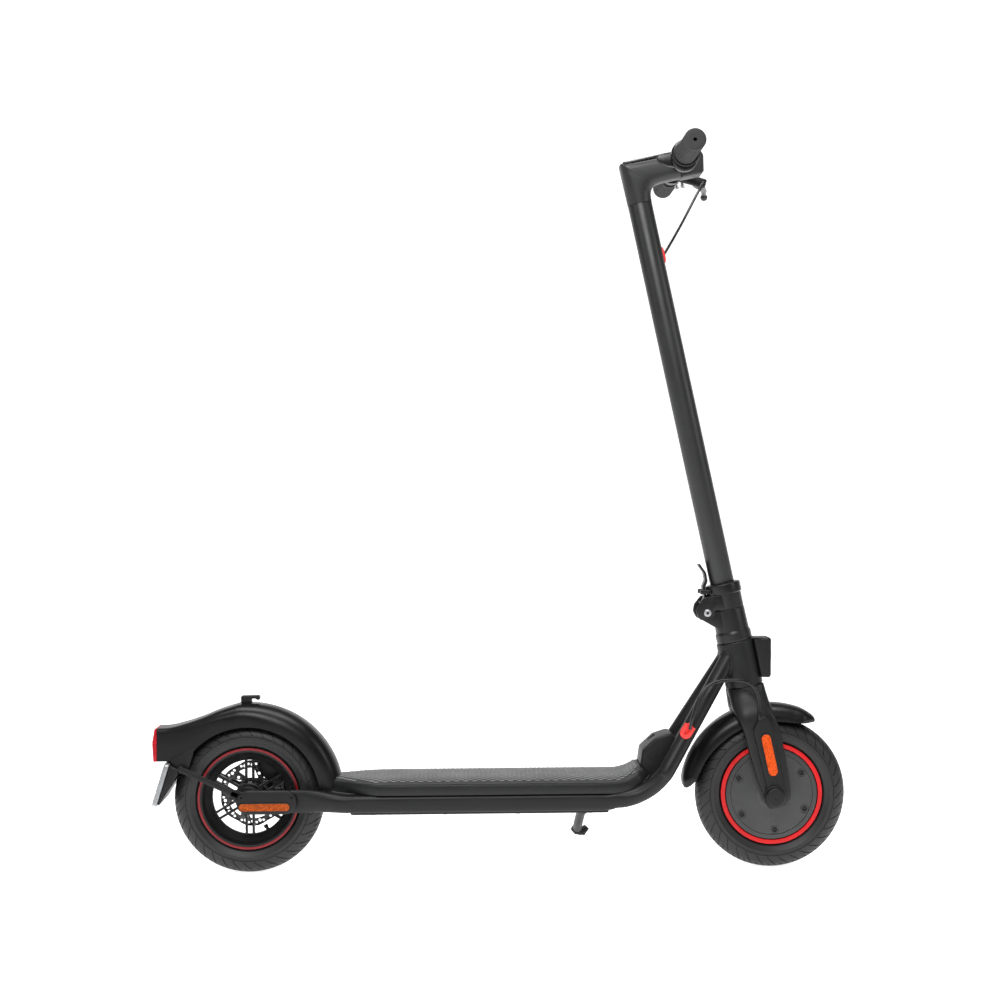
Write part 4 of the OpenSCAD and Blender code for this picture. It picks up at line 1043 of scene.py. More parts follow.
def deck():
    thick = PLATE_Z - RAIL_LOW - 23.4
    put("deck_shell", deck_slab(0, -thick, 0, 2.4), ROAD, "frame", DECK_PAINT, ("deck_top",))
    mat_top = MAT_Z - PLATE_Z
    put("deck_tread_mat", deck_slab(2.6, 0, mat_top - 0.8, 0.5), ROAD, "frame", MAT_GROUND,
        ("deck_mat",), crease=25)
    shapes = []
    hexagon = [(math.cos(TURN * (k + 0.5) / 6), math.sin(TURN * (k + 0.5) / 6)) for k in range(6)]
    for i in range(70):
        u = DECK_WIDTHS[0][0] + 8 + i * 7.3
        width = float(np.interp(u, *zip(*DECK_WIDTHS)))
        for j in range(-7, 8):
            y = (j + (0.5 if i % 2 else 0)) * 11.6
            if u < DECK_WIDTHS[-1][0] - 6 and abs(y) < width - 9:
                shapes.append(skin([[deck_point(u + sx * cx, y + sy * cy, z + crowned(y, width)) for cx,
                                     cy in hexagon]
                                    for sx, sy, z in ((4.6, 4.4, mat_top - 1), (4.3, 4.1, mat_top - 0.1),
                                                      (3.5, 3.3, mat_top),
                                                      (2.2, 2.1, mat_top - 0.5))]))
    # The studs take the pale rubber whose colour is a painted sheen.
    put("deck_mat_studs", join(*shapes), ROAD, "frame", STUD_RUBBER_PAINTED_SHEEN, crease=25)
    low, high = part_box("bottom_cover")
    a, b = in_frame(ROAD, low), in_frame(ROAD, high)
    outline = rounded([(a.x - 14, a.y), (b.x, a.y), (b.x, b.y), (a.x - 14, b.y)], 6, 5)
    cover = put("battery_cover", block(outline, a.z - 1, b.z - 0.1, 2, 4), ROAD, "frame", PLASTIC,
                ("bottom_cover",))
    y = b.y - 12
    places = [(a.x + 22 + i * (BEND_X - TRAY_REAR - 70) / 3, s * y, 0) for i in range(4) for s in (1, -1)]
    pocket = moved(disc(5.3, -3.2, 5, 0, 24), Matrix.Rotation(math.radians(-90), 4, "X"))
    ribs = [prism([(a.x + 40 + 34 * i, -1), (a.x + 46 + 34 * i, -1), (a.x + 46 + 34 * i, 1.2),
                   (a.x + 40 + 34 * i, 1.2)], -44, 44, 0)
            for i in range(10)]
    tools = join(*[moved(pocket, Matrix.Translation((px, py, a.z))) for px, py, _ in places],
                 *[moved(rib, Matrix.Translation((0, 0, a.z))) for rib in ribs])
    carve(cover, tools, ROAD)
    head = moved(socket_head(4.6, -2.8, -0.2), Matrix.Rotation(math.radians(90), 4, "X") @ Matrix.Scale(-1, 4,
                                                                                                        (0, 1,
                                                                                                         0)))
    screws = join(*[moved(([(x, y, -z) for x, y, z in head[0]], head[1]),
                          Matrix.Translation((px, py, a.z))) for px, py, _ in places])
    put("battery_cover_screws", screws, ROAD, "frame", STEEL, ("bottom_screws",))


def rail_line():
    """Centre line, half height and squareness of a frame tube from the deck to the head tube."""
    base = RAIL_LOW + 12
    bend_r = 101
    aim = in_frame(ROAD, STEER @ Vector((0, 0, HEAD_TOP - 5)))
    centre = Vector((BEND_X, base + bend_r))
    away = Vector((aim.x, aim.z)) - centre
    slope = math.atan2(away.y, away.x) - math.acos(bend_r / away.length) + math.pi / 2
    path = [(TRAY_REAR + 1, RAIL_Y, base - 2.8, 14, 13.1, 4.6), (300, RAIL_Y, base - 2.8, 14, 13.1, 4.6),
            (450, RAIL_Y, base - 2.8, 14, 13.1, 4.6), (BEND_X - 40, RAIL_Y, base - 2.8, 14, 13.1, 4.6),
            (BEND_X - 12, RAIL_Y, base - 2.4, 14, 13.2, 3.8)]
    for k in range(9):
        a = slope * k / 8
        path.append((BEND_X + bend_r * math.sin(a), RAIL_Y, centre.y - bend_r * math.cos(a), 13.5, 13.5,
                     4 - 2 * min(1, (k + 1) / 4)))
    rise = Vector(path[-1][:3])
    for f in (0.25, 0.5, 0.75, 1):
        p = rise.lerp(Vector((aim.x, 8, aim.z)), f)
        path.append((*p, 13.5, 13.5, 2))
    return path


HEAD_R, HEAD_HALF = size("head_tube").y / 2, 38
HEAD_MID = in_frame(STEER, middle("head_tube")).z
HEAD_S, HEAD_TOP = HEAD_MID - HEAD_HALF, HEAD_MID + HEAD_HALF


def rails():
    """The frame tubes, swept along their centre line."""
    rows = np.array(rail_line())
    rings = []
    dense = spline(rows, 5)
    for i, row in enumerate(dense):
        ahead, behind = dense[min(i + 1, len(dense) - 1)], dense[max(i - 1, 0)]
        way = Vector(ahead[:3] - behind[:3]).normalized()
        side = Vector((0, 1, 0)) - way * way.y
        side.normalize()
        up = way.cross(side) * -1
        ring = []
        for k in range(40):
            u, w = squarish(k, 40, row[5])
            ring.append(Vector(row[:3]) + up * row[3] * u + side * row[4] * w)
        rings.append(ring)
    tube = skin(rings)
    head_cut = upright([(0.01, 60), (HEAD_R - 2, 60), (HEAD_R - 2, 400), (0.01, 400)], 64)
    for name, shape in (("left", tube), ("right", mirrored(tube))):
        piece = put("frame_tube_" + name, shape, ROAD, "frame", FRAME_PAINT,
                    ("frame_rail_" + name,))
        carve(piece, head_cut, STEER)
    # Weld beads where the tubes meet the head tube
    start, end = Vector(rows[-4][:3]), Vector(rows[-1][:3])
    way = (end - start).normalized()
    u = way.orthogonal().normalized()
    v = way.cross(u)
    to_steer = STEER.inverted() @ ROAD
    bead = []
    for k in range(48):
        off = (u * math.cos(TURN * k / 48) + v * math.sin(TURN * k / 48)) * 13.6
        low_t, high_t = 0.0, (end - start).length
        for _ in range(24):
            t = (low_t + high_t) / 2
            q = to_steer @ (start + off + way * t)
            if math.hypot(q.x, q.y) > HEAD_R + 0.3:
                low_t = t
            else:
                high_t = t
        bead.append(start + off + way * low_t)
    bead = [p + way * 0.35 * math.sin(14 * TURN * k / 48) for k, p in enumerate(bead)]
    left = sweep(bead, 2.3, 10, closed=True)
    put("head_weld_beads", pair(left), ROAD, "frame", FRAME_PAINT)


def head_tube():
    profile = rounded([(20.2, HEAD_S + 0.4), (HEAD_R - 0.6, HEAD_S + 0.4), (HEAD_R, HEAD_S + 2, 1),
                       (HEAD_R, HEAD_TOP - 2, 1),
                       (HEAD_R - 0.8, HEAD_TOP - 0.4), (20.2, HEAD_TOP - 0.4)], 0.6, 3)
    put("head_tube_barrel", upright(profile, 128), STEER, "frame", FRAME_PAINT, ("head_tube",))


def neck():
    """Fairing between the tubes with a pressed triangle and a slot."""
    x, z = DECK_FRONT + 8, PLATE_Z - 3
    outline = rounded([(x - 2, z - 21, 1), (x, z + 0.6, 3), (x + 5, z + 28, 20), (x + 8, z + 48, 9),
                       (x + 30, z + 68, 14),
                       (x + 55, z + 76, 10), (x + 65, z + 67, 6), (x + 43, z + 22, 20), (x + 22, z, 12),
                       (x + 16, z - 20, 2)], 2, 6)
    piece = put("neck_fairing", prism(outline, -34, 34, 4, 5), ROAD, "frame", PLASTIC,
                ("neck_cover",))
    triangle = rounded([(x + 15, z + 37), (x + 38, z + 55), (x + 29, z + 29)], 4, 4)
    slot = stadium((x + 20, z + 60), (x + 31, z + 68), 1.4)
    tools = join(pair(prism(triangle, 31.5, 40, 0)), prism(slot, -12, 12, 0))
    carve(piece, tools, ROAD)
    put("charge_port_flap", charge_flap(), ROAD, "charge_flap", BUTTON_GREY, ("charge_cap",))


def charge_flap():
    low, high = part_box("charge_cap")
    a, b = in_frame(ROAD, low), in_frame(ROAD, high)
    tilt = math.radians(15)
    flap = prism(rounded([(-1.5, -12), (1.4, -12), (1.5, 7), (-1.5, 7)], 0.8), -11, 11, 1)
    lip = prism(rounded([(-2.6, -12), (-1.2, -12), (-1.2, -9), (-2.6, -10)], 0.5), -6, 6, 0.4)
    pin = moved(disc(1.75, -9, 9, 0.3, 20), Matrix.Translation((0.2, 0, 9)))
    centre = (a + b) / 2
    return moved(join(flap, lip, pin), Matrix.Translation((centre.x, 0, centre.z)) @ Matrix.Rotation(tilt, 4,
                                                                                                     "Y"))


def marker():
    """Reflector and lamp housing on the front of the head tube."""
    low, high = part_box("front_marker")
    a, b = in_frame(ROAD, low), in_frame(ROAD, high)
    outline = rounded([(b.x - 30, b.z, 0.5), (b.x, b.z, 5), (b.x - 1, a.z, 5), (b.x - 18, a.z + 0.6, 0.5)], 2,
                      6)
    piece = put("front_lamp_housing", prism(outline, -22, 22, 4.5, 6), ROAD, "frame", PLASTIC,
                ("front_marker",))
    carve(piece, upright([(0.01, 100), (HEAD_R + 0.15, 100), (HEAD_R + 0.15, 400), (0.01, 400)], 96), STEER)
    lamp = lathe([(0.01, -2), (15.4, -2), (15.4, 0.5), (13, 1.1), (7, 1.5), (0.01, 1.6)], 64)
    bezel = lathe(rounded([(15.2, -2), (18, -2), (17.4, 1.7, 0.8), (15.6, 1.2, 0.5)], 0.4, 3), 64)
    face = ROAD @ Matrix.Translation((b.x - 1.5, 0, (a.z + b.z) / 2 + 6)) @ Matrix.Rotation(math.radians(-90),
                                                                                            4, "Z")
    put("front_lamp_lens", lamp, face, "frame", LAMP_CLEAR)
    put("front_lamp_bezel", bezel, face, "frame", FINE_METAL)


def rail_grommet():
    """Red rubber grommet round the motor cable, on the right tube."""
    point = middle("frame_grommet")
    c = in_frame(ROAD, point)
    slope = math.radians(58)
    turn = Matrix.Translation((719.5, c.y - 0.5, 236)) @ Matrix.Rotation(math.pi / 2 - slope, 4, "Y")
    arch = []
    for k in range(25):
        t = k / 24
        if t < 0.3:
            arch.append((-6, 0, 8 - 14 * (t / 0.3)))
        elif t < 0.7:
            a = math.pi * (t - 0.3) / 0.4
            arch.append((-6 * math.cos(a), 0, -6 - 6 * math.sin(a)))
        else:
            arch.append((6, 0, -6 + 14 * ((t - 0.7) / 0.3)))
    body = sweep(arch, 3.9, 16)
    base = prism(stadium((0, -5), (0, 4), 7), 1.5, 4.5, 1)
    put("cable_grommet", moved(join(body, base), turn), ROAD, "frame", RED_RUBBER,
        ("frame_grommet",))


# ---- Fork ----
def fork():
    """Two smooth legs that grow together into a round crown under the head tube."""
    crown_s = HEAD_S - 32
    ax = in_frame(STEER, FRONT)
    stations = [(ax.x - 6, ax.z - 20, ax.x + 14, ax.z - 20, 45, 3, 2), (-9, -14, 26, -14, 45, 5.5, 3),
                (-12, -2, 31, -3, 45, 6.6, 4), (-16, 20, 33, 18, 45, 7, 4.2), (-19, 48, 34.6, 46, 45, 7, 4.2),
                (-21.5, 78, 35.6, 76, 45, 7, 4.2), (-22.5, 103, 35.4, 101, 45, 7.2, 3.8),
                (-25, 124, 34, 122, 42.9, 8.9, 3.4),
                (-29, 138, 32.6, 136, 34.8, 14.8, 3), (-31, 149, 31.4, 148, 24, 21, 2.7),
                (-31, 160, 30.6, 160, 19.2, 19.2, 2.4), (-30.6, 171, 30.2, 171, 16.4, 16.4, 2.1),
                (-30, HEAD_S - 1, 30, HEAD_S - 1, 15, 15, 2.0)]
    leg = body_of(stations, 56, 6)
    collar = upright(rounded([(15, crown_s + 4), (27, crown_s + 5, 8), (30, HEAD_S - 8, 6),
                              (30, HEAD_S - 0.4, 0.5),
                              (15, HEAD_S - 0.4)], 0.5, 6), 112)
    column = upright([(13.8, crown_s + 10), (17, crown_s + 10), (17, HEAD_TOP + 40), (13.8, HEAD_TOP + 40)], 64)
    arch = prism(rounded([(-26, crown_s - 4), (27, crown_s - 4), (25, HEAD_S - 10), (-24, HEAD_S - 10)], 8),
                 -30, 30, 5, 5)
    put("fork_casting", join(pair(leg), collar, column, arch), STEER, "fork", CAST_PAINT,
        ("fork",))
    cover_outline = rounded([(ax.x - 17, -5, 12), (ax.x - 14, -19, 12), (ax.x + 14, -19, 12),
                             (ax.x + 19, -5, 12), (23, 20, 10), (23, 60, 30), (24.6, 113, 10),
                             (19, 131.6, 9), (6, 132.4, 9), (-8.8, 113, 12), (-7.5, 78, 30), (-6, 20, 14)], 6,
                             8)
    cover = prism(cover_outline, 51.6, 57.9, 3.4, 5)
    put("fork_leg_covers", pair(cover), STEER, "fork", PLASTIC)
    reflector("fork_reflector", (9, 41), (9, 95), 8.5, 57.6, 60.5, STEER, "fork", AMBER, "fork_reflectors")


MOTOR_ROUTE = [(722, -73, 238), (724, -75, 248), (727, -76, 260), (735, -73, 284), (747, -69, 302),
               (765, -64, 312.6),
               (787, -59, 315.6), (809, -57, 314), (825, -56, 307), (834.5, -55.5, 293), (837.5, -55.5, 275),
               (838, -56, 258)]


def motor_cable():
    cable = put("motor_cable_sheath", sweep(smooth_path(MOTOR_ROUTE, 5), 2.7, 14), ROAD, None, CABLE_JACKET)
    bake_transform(cable)
    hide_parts("motor_cable")
    end = Vector(MOTOR_ROUTE[-1])
    boot = sweep([end + Vector((0, 0, 6)), end + Vector((0, 0, 2)), end + Vector((0.4, 0, -3)),
                  end + Vector((1, 0, -8))], [2.9, 3.4, 3.8, 3.6], 20)
    put("motor_cable_boot", boot, ROAD, "fork", CABLE_JACKET)


# ---- Hinge and stem ----
SPLIT_S = PIVOT.z - 1.8


def hinge():
    split = SPLIT_S
    base = upright(rounded([(17.2, HEAD_TOP + 0.5), (HEAD_R - 2, HEAD_TOP + 0.5, 0.4),
                            (HEAD_R - 1.6, HEAD_TOP + 3, 1),
                            (HEAD_R - 1.6, HEAD_TOP + 14, 1), (27.5, HEAD_TOP + 18, 2), (27, split - 0.4, 0.8),
                            (17.2, split - 0.4)], 0.6, 4), 112)
    ear = rounded([(PIVOT.x - 14, PIVOT.z + 4, 13), (PIVOT.x - 8, PIVOT.z + 13.5, 9),
                   (PIVOT.x + 8, PIVOT.z + 12, 6),
                   (PIVOT.x + 15, split - 0.4, 2), (-10, split - 1, 0), (-10, PIVOT.z - 36, 4),
                   (-22, PIVOT.z - 33, 8),
                   (PIVOT.x - 13, PIVOT.z - 8, 12)], 5, 6)
    ears = pair(prism(ear, 11.9, 21.9, 1.6, 4))
    put("hinge_casting", join(base, ears), STEER, "fork", FINE_METAL, ("hinge_base",))
    nuts = join(pair(socket_head(4.6, 25.8, 28.2, 2.2)), pair(disc(6, 26.2, 26.9, 0.3, 40)))
    put("hinge_pin_bolt", join(disc(4, -28, 28, 0.4, 32), nuts), HINGE, "fork", STEEL, ("hinge_pin",))
    # Black hexagons set in the pin heads' recesses: painted shade in the sockets.
    put("hinge_pin_socket_shade", pair(disc(2.5, 25, 28.3, 0, 6)), HINGE, "fork", PLASTIC)


def collar():
    split, top = SPLIT_S, SPLIT_S + 25
    sleeve = upright(rounded([(20.1, split + 8), (14, split + 0.4), (26.8, split + 0.4, 0.8), (27, top, 1),
                              (29, top + 1.5, 1), (29, top + 16.6, 1.6),
                              (26, top + 18, 1), (20.1, top + 18)], 0.5, 4), 112)
    knuckle = prism(rounded([(PIVOT.x - 12, PIVOT.z, 11), (PIVOT.x - 4, PIVOT.z + 11.8, 9),
                             (-16, PIVOT.z + 10, 2), (-16, split + 0.6, 1),
                             (PIVOT.x + 4, split + 0.6, 1), (PIVOT.x, PIVOT.z - 11.8, 9),
                             (PIVOT.x - 10, PIVOT.z - 8, 8)], 3, 5), -11.2, 11.2, 1)
    put("stem_clamp", join(sleeve, knuckle), STEER, "stem", FINE_METAL, ("stem_collar",))
    plate = prism(rounded([(-0.2, 26, 5), (-13.7, 15, 9), (-18.2, 4, 9), (-14.5, -8, 9), (-3, -9.4, 7),
                           (6, -2.4, 5), (12, 0.8, 3), (29, 0.8, 1),
                           (29, 23.4, 1)], 3, 6), 24.1, 26.1, 0.9)
    catch = prism(rounded([(-4.4, 31.8), (13, 28.4), (14.6, 35.4), (-2.9, 39)], 1.6, 5), 12.5, 20, 1)
    put("stem_clamp_cheeks", join(pair(plate), pair(catch),
                                  pair(moved(socket_head(1.8, 19.8, 21.2, 0.6),
                                             Matrix.Translation((9.5, 0, 32.6))))),
        HINGE, "stem", FINE_METAL)
    bolt = socket_head(3.6, 28.4, 30.2)
    spots = [Matrix.Translation((0, 0, top + 9)) @ Matrix.Rotation(math.radians(a), 4, "Z") for a in (78, 102,
                                                                                                      -78,
                                                                                                      -102)]
    put("stem_clamp_screws", join(*[moved(bolt, m) for m in spots]), STEER, "stem", STEEL)


def folding_lever():
    """Quick-release lever: two cheeks, a hook over the hinge and a curved finger blade."""
    cheek = prism(rounded([(-15, -11, 10), (-18, 6, 10), (-8, 18.4, 7), (6, 18.4, 7), (15, 8, 9), (12, -8, 10)],
                          6, 6), 22.3, 23.9, 0.5)
    hook_arc = [(polar(15.1, a), polar(18.5, a)) for a in range(80, 113, 4)]
    outline = [p for p, _ in hook_arc] + [q for _, q in reversed(hook_arc)]
    bridge = prism(outline, -23.7, 23.7, 0.5)
    blade = rounded([(-2.6, 18.6, 0.6), (-2, 15.6, 0.6), (3.1, 15.4, 1), (6.2, 24, 6), (6.6, 40, 5),
                     (13, 50, 6), (13.6, 64, 8), (6.4, 81, 1.2),
                     (3, 79.6, 1.2), (9.4, 64, 8), (9, 52.5, 5), (2.4, 43, 6), (1.8, 26, 6)], 2, 5)
    put("fold_lever_blade", join(pair(cheek), bridge, prism(blade, -11, 11, 1.1)), HINGE, "latch_lever",
        FINE_METAL,
        ("fold_lever",))


STEM_R = 20


def stem():
    low, top = PIVOT.z + 8, BAR_S - 48
    tube = upright(rounded([(17.5, low), (STEM_R, low), (STEM_R, top - 0.9, 0.6), (17.5, top - 0.9)], 0.3, 2),
                   128)
    put("stem_post", tube, STEER, "stem", STEM_PAINT, ("stem_tube",))
    pad = []
    for k in range(22):
        a = TURN * k / 22
        pad.append((5.0 * math.cos(a), 13.5 * math.sin(a)))
    rings = []
    for grow, out in ((1.0, -1.5), (1.0, 1.2), (0.82, 2.4), (0.5, 3.2), (0.3, 2.2)):
        rings.append([(math.sqrt(max(0, (STEM_R + out) ** 2 - (y * grow) ** 2)), y * grow,
                       BAR_S - 139 + z * grow) for y, z in pad])
    put("stem_grommet", skin(rings), STEER, "stem", RED_RUBBER)


def gooseneck():
    """Head casting that turns from the round stem into a forward arm."""
    s0 = BAR_S - 49
    stations = [(-20.4, s0 + 0.4, 20.4, s0 + 0.4, 0, 20.4, 2.0), (-20.5, s0 + 10, 20.5, s0 + 6, 0, 20.8, 2.1),
                (-20.6, s0 + 24, 21.6, s0 + 14, 0, 21.4, 2.4), (-20.7, s0 + 40, 24.4, s0 + 19.6, 0, 22, 2.8),
                (-20.7, s0 + 54, 28, s0 + 23.2, 0, 22.4, 3.3), (-20.6, s0 + 64, 31, s0 + 24.8, 0, 22.5, 3.7),
                (-20.2, s0 + 68.4, 33, s0 + 25.5, 0, 22.6, 4), (-18.4, s0 + 70.4, 35, s0 + 26, 0, 22.6, 4),
                (-15, s0 + 70.8, 37.5, s0 + 26.4, 0, 22.7, 4), (-4, s0 + 70.8, 43, s0 + 26.8, 0, 22.8, 3.8),
                (20, s0 + 70.4, 52, s0 + 27, 0, 22.9, 3.6), (46, s0 + 69.8, 62, s0 + 27, 0, 23, 3.6),
                (BAR_FWD - 0.4, s0 + 69, BAR_FWD - 0.4, s0 + 26.6, 0, 23, 3.6)]
    piece = put("stem_gooseneck", body_of(stations, 64, 7), STEER, "stem", STEM_PAINT,
                ("stem_head",))
    bore = moved(disc(11.2, -40, 40, 0, 48), Matrix.Translation((BAR_FWD, 0, BAR_S)))
    carve(piece, bore, STEER)
    front = rounded([(BAR_FWD + 0.3, BAR_S - 22.6, 1), (109, BAR_S - 23.4, 4), (112.5, BAR_S - 20, 4),
                     (117.5, BAR_S + 6, 8),
                     (114, BAR_S + 15.5, 5), (106, BAR_S + 18.6, 3), (BAR_FWD + 0.3, BAR_S + 19, 1)], 2, 6)
    clamp = put("bar_clamp_cap", prism(front, -22.9, 22.9, 4, 5), STEER, "stem", STEM_PAINT,
                ("bar_clamp",))
    carve(clamp, bore, STEER)
    lens = moved(lathe([(0.01, -6), (10.6, -6), (10.6, -0.6), (8, -0.2), (0.01, 0)], 48),
                 Matrix.Translation((115.4, 0, BAR_S - 4)) @ Matrix.Rotation(math.radians(10), 4,
                                                                             "Y") @ Matrix.Rotation(math.radians(-90), 4, "Z"))
    put("headlight_lens", lens, STEER, "stem", LAMP_DARK)


def dashboard():
    low = BAR_S + 18.7
    outline = rounded([(-16, -20.5, 6), (96, -20.5, 8), (102, -13, 8), (102, 13, 8), (96, 20.5, 8),
                       (-16, 20.5, 6)], 5, 6)
    put("dash_cover", block(outline, low, low + 3.8, 1.3, 4), STEER, "stem", GLASS_BLACK,
        ("dash_panel",))
    glow = []
    for x, y, w, h in ((52, 0, 20, 1.6), (64, -6, 1.4, 9), (64, 6, 1.4, 9), (42, -6, 1.4, 9), (42, 6, 1.4, 9),
                       (74, 0, 2.2, 2.2)):
        glow.append(block(rounded([(x - w / 2, y - h / 2), (x + w / 2, y - h / 2), (x + w / 2, y + h / 2),
                                   (x - w / 2, y + h / 2)], 0.5),
                          low + 3.45, low + 3.75, 0.1))
    put("dash_marks", join(*glow), STEER, "stem", BUTTON_GREY)
    button = upright([(0.01, 0), (5.8, 0), (5.8, 2.5), (5.2, 3.1), (0.01, 2.8)], 48)
    ring = upright([(6.2, 0), (7.6, 0), (7.2, 0.9), (6.4, 0.9)], 48)
    put("power_key_cap", moved(button, Matrix.Translation((6, 0, low + 1.3))), STEER, "power_key", BUTTON_GREY,
        ("power_button",))
    put("power_key_ring", moved(ring, Matrix.Translation((6, 0, low + 3.3))), STEER, "stem", STEEL)


# ---- Handlebar ----
BAR_END = size("grips").y / 2
GRIP_INNER = BAR_END - 122


def grips():
    """Rubber sleeves with rows of raised diamonds, a collar inboard and a domed end with a vent."""
    inner, outer = GRIP_INNER, BAR_END
    around, along = 26, 28
    start, stop = inner + 7, outer - 6
    rings = []
    for j in range(along * 4 + 1):
        y = start + (stop - start) * j / (along * 4)
        ring = []
        for i in range(around * 4):
            cell_i, cell_j = i % 4, (j + (2 if (i // 4) % 2 else 0)) % 4
            tall = max(0, 1 - abs(cell_i - 2) / 2 - abs(cell_j - 2) / 2) if cell_i else 0
            r = 16.15 + 1.15 * min(1, tall * 1.7)
            a = TURN * i / (around * 4)
            ring.append((r * math.cos(a), y, r * math.sin(a)))
        rings.append(ring)
    n = around * 4

    def plain(r, y):
        return [(r * math.cos(TURN * i / n), y, r * math.sin(TURN * i / n)) for i in range(n)]

    inboard = [plain(r, y) for r, y in ((11.1, inner + 0.3), (17.0, inner + 0.3), (17.3, inner + 0.8),
                                        (17.3, inner + 4),
                                        (16.6, inner + 5), (16.1, inner + 6.2))]
    outboard = [plain(r, y) for r, y in ((16.1, outer - 5), (17.2, outer - 4.4), (17.3, outer - 3.6),
                                         (17.3, outer - 1.2),
                                         (16.7, outer - 0.35), (15.6, outer), (9, outer - 0.1),
                                         (3.0, outer - 0.2), (2.6, outer - 2),
                                         (2.4, outer - 3.4), (11.05, outer - 3.6))]
    grip = skin([*inboard, *rings, *outboard], close_ends=True)
    put("grip_sleeves", pair(grip), BAR, "stem", GRIP_RUBBER, ("grips",), crease=28)
    bar = tube_ring(11, 8.5, -(BAR_END - 4), BAR_END - 4, 0.4, 64)
    put("handlebar_tube", bar, BAR, "stem", FINE_METAL, ("handlebar",))


PERCH_Y = 84


def brake_controls():
    ring = lathe(rounded([(11.1, PERCH_Y), (16, PERCH_Y, 1.4), (16, PERCH_Y + 20, 1.4), (11.1, PERCH_Y + 20)],
                         0.5, 4), 64)
    arm = body_of([(9, 8, 9, -8, PERCH_Y + 7, 6.8, 3), (20, 8.2, 20, -8.2, PERCH_Y + 6, 5.8, 3.4),
                   (34, 8.2, 34, -8.2, PERCH_Y + 5, 5, 3.6),
                   (48, 8.2, 48, -8.2, PERCH_Y + 4.6, 4.8, 3.6), (58, 7.4, 58, -7.4, PERCH_Y + 4.4, 4.2, 3),
                   (60, 5, 60, -5, PERCH_Y + 4.4, 2.6, 2.2)], 32)
    plan = rounded([(37, PERCH_Y + 6, 2), (56, PERCH_Y + 6, 2), (57.6, PERCH_Y + 17, 4), (56, PERCH_Y + 24, 6),
                    (44.6, PERCH_Y + 24, 6), (42, PERCH_Y + 17, 4)], 3, 5)
    jaws = join(block(plan, 4.5, 8.3, 0.9), block(plan, -8.3, -4.5, 0.9))
    pin = moved(upright([(0.01, -9.4), (3, -9.4), (3, 9.4), (0.01, 9.4)], 24),
                Matrix.Translation((50, PERCH_Y + 18, 0)))
    stud = [(0.01, -26), (3, -26), (3.4, -25), (3.4, -20), (2.2, -19.6), (2.2, -12), (0.01, -12)]
    clamp = join(*[moved(upright(stud, 24), Matrix.Rotation(-LEVER_TILT, 4,
                                                            "Y") @ Matrix.Translation((x, PERCH_Y + 8,
                                                                                       0))) for x in (4, 14)])
    put("brake_lever_perch", join(ring, arm, jaws), LEVER, "stem", FINE_METAL, ("brake_perch",))
    put("brake_perch_screws", join(pin, clamp), LEVER, "stem", STEEL)
    y0 = PERCH_Y + 18
    blade_plan = rounded([(44.4, y0 + 1, 5), (46, y0 - 6, 4), (54, y0 - 6, 4), (57.4, y0 - 1, 5),
                          (63.6, y0 + 26, 12), (70.6, y0 + 58, 20), (73, y0 + 86, 4),
                          (65.6, y0 + 86, 4), (62.4, y0 + 60, 20), (53.6, y0 + 30, 14)], 4, 6)
    blade = block(blade_plan, -3.9, 3.9, 1.6, 4)
    globe = [(6.2 * math.cos(a), 6.2 * math.sin(a)) for a in (math.pi * (k / 16 - 0.5) * 0.98 for k in range(17))]
    ball = moved(lathe(globe, 32), Matrix.Translation((71.5, y0 + 90, -4)))
    piece = put("brake_lever_blade", join(blade, ball), LEVER, "hand_lever", LEVER_ALLOY,
                ("brake_lever",))
    carve(piece, moved(upright([(0.01, -12), (3.1, -12), (3.1, 12), (0.01, 12)], 32),
                       Matrix.Translation((50, y0, 0))), LEVER)


def brake_line():
    """Outer cable from the perch down into the front of the stem."""
    c, s = math.cos(LEVER_TILT), math.sin(LEVER_TILT)
    a = Vector((57 * c, PERCH_Y + 5, -57 * s + 3))
    b = Vector((STEM_R + 5 - BAR_FWD, 3, -135))
    end = Vector((STEM_R - BAR_FWD - 3, 1, -140))
    way = (b - a).normalized()
    route = [a, a * 0.8 + b * 0.2, a * 0.4 + b * 0.6 + Vector((0.5, 0, -1)), b, end]
    put("brake_line", sweep(smooth_path(route, 6), 2.2, 14), BAR, "stem", CABLE_JACKET,
        ("brake_cable",))
    barrel = sweep([a - way * 4, a + way * 5, a + way * 6, a + way * 13, a + way * 14, a + way * 19],
                   [4.4, 4.4, 3.6, 3.6, 3.1, 2.9], 20)
    put("brake_line_adjuster", barrel, BAR, "stem", FINE_METAL)


def throttle():
    inner = GRIP_INNER
    housing = lathe(rounded([(11.1, -inner), (20, -inner, 2), (23, -inner + 3, 2), (23, -inner + 13, 1.4),
                             (21, -inner + 16, 1), (11.1, -inner + 16)], 0.6, 4), 72)
    pod = moved(disc(20, -inner + 1, -inner + 15, 3, 64), Matrix.Translation((-3, 0, -8)))
    put("throttle_pod", join(housing, pod), BAR, "stem", SATIN_BLACK, ("throttle_housing",))
    hub = lathe(rounded([(11.2, -inner + 16.4), (18, -inner + 16.4, 0.8), (18, -inner + 23.8, 1.2),
                         (11.2, -inner + 23.8)], 0.5, 4), 72)
    paddle = prism(rounded([(-8, 13, 2), (-24, 8, 6), (-41, 9.6, 3), (-45.6, 4, 3), (-43, -2.6, 3),
                            (-32, -10.5, 10), (-18, -16, 4), (-6, -12, 2)], 3, 6),
                   -inner + 16.6, -inner + 23.8, 1.8, 4)
    put("throttle_thumb_paddle", join(hub, paddle), BAR, "thumb_throttle", SATIN_BLACK,
        ("throttle_paddle",))


REAR_CABLE = [(41, 45, 188), (60, 45, 184), (90, 45, 168), (120, 43, 150), (150, 41, 134), (175.6, 40, 126)]


def rear_brake_line():
    put("rear_brake_line", sweep(smooth_path(REAR_CABLE, 6), 2, 14), ROAD, "frame", CABLE_JACKET,
        ("rear_brake_cable",))


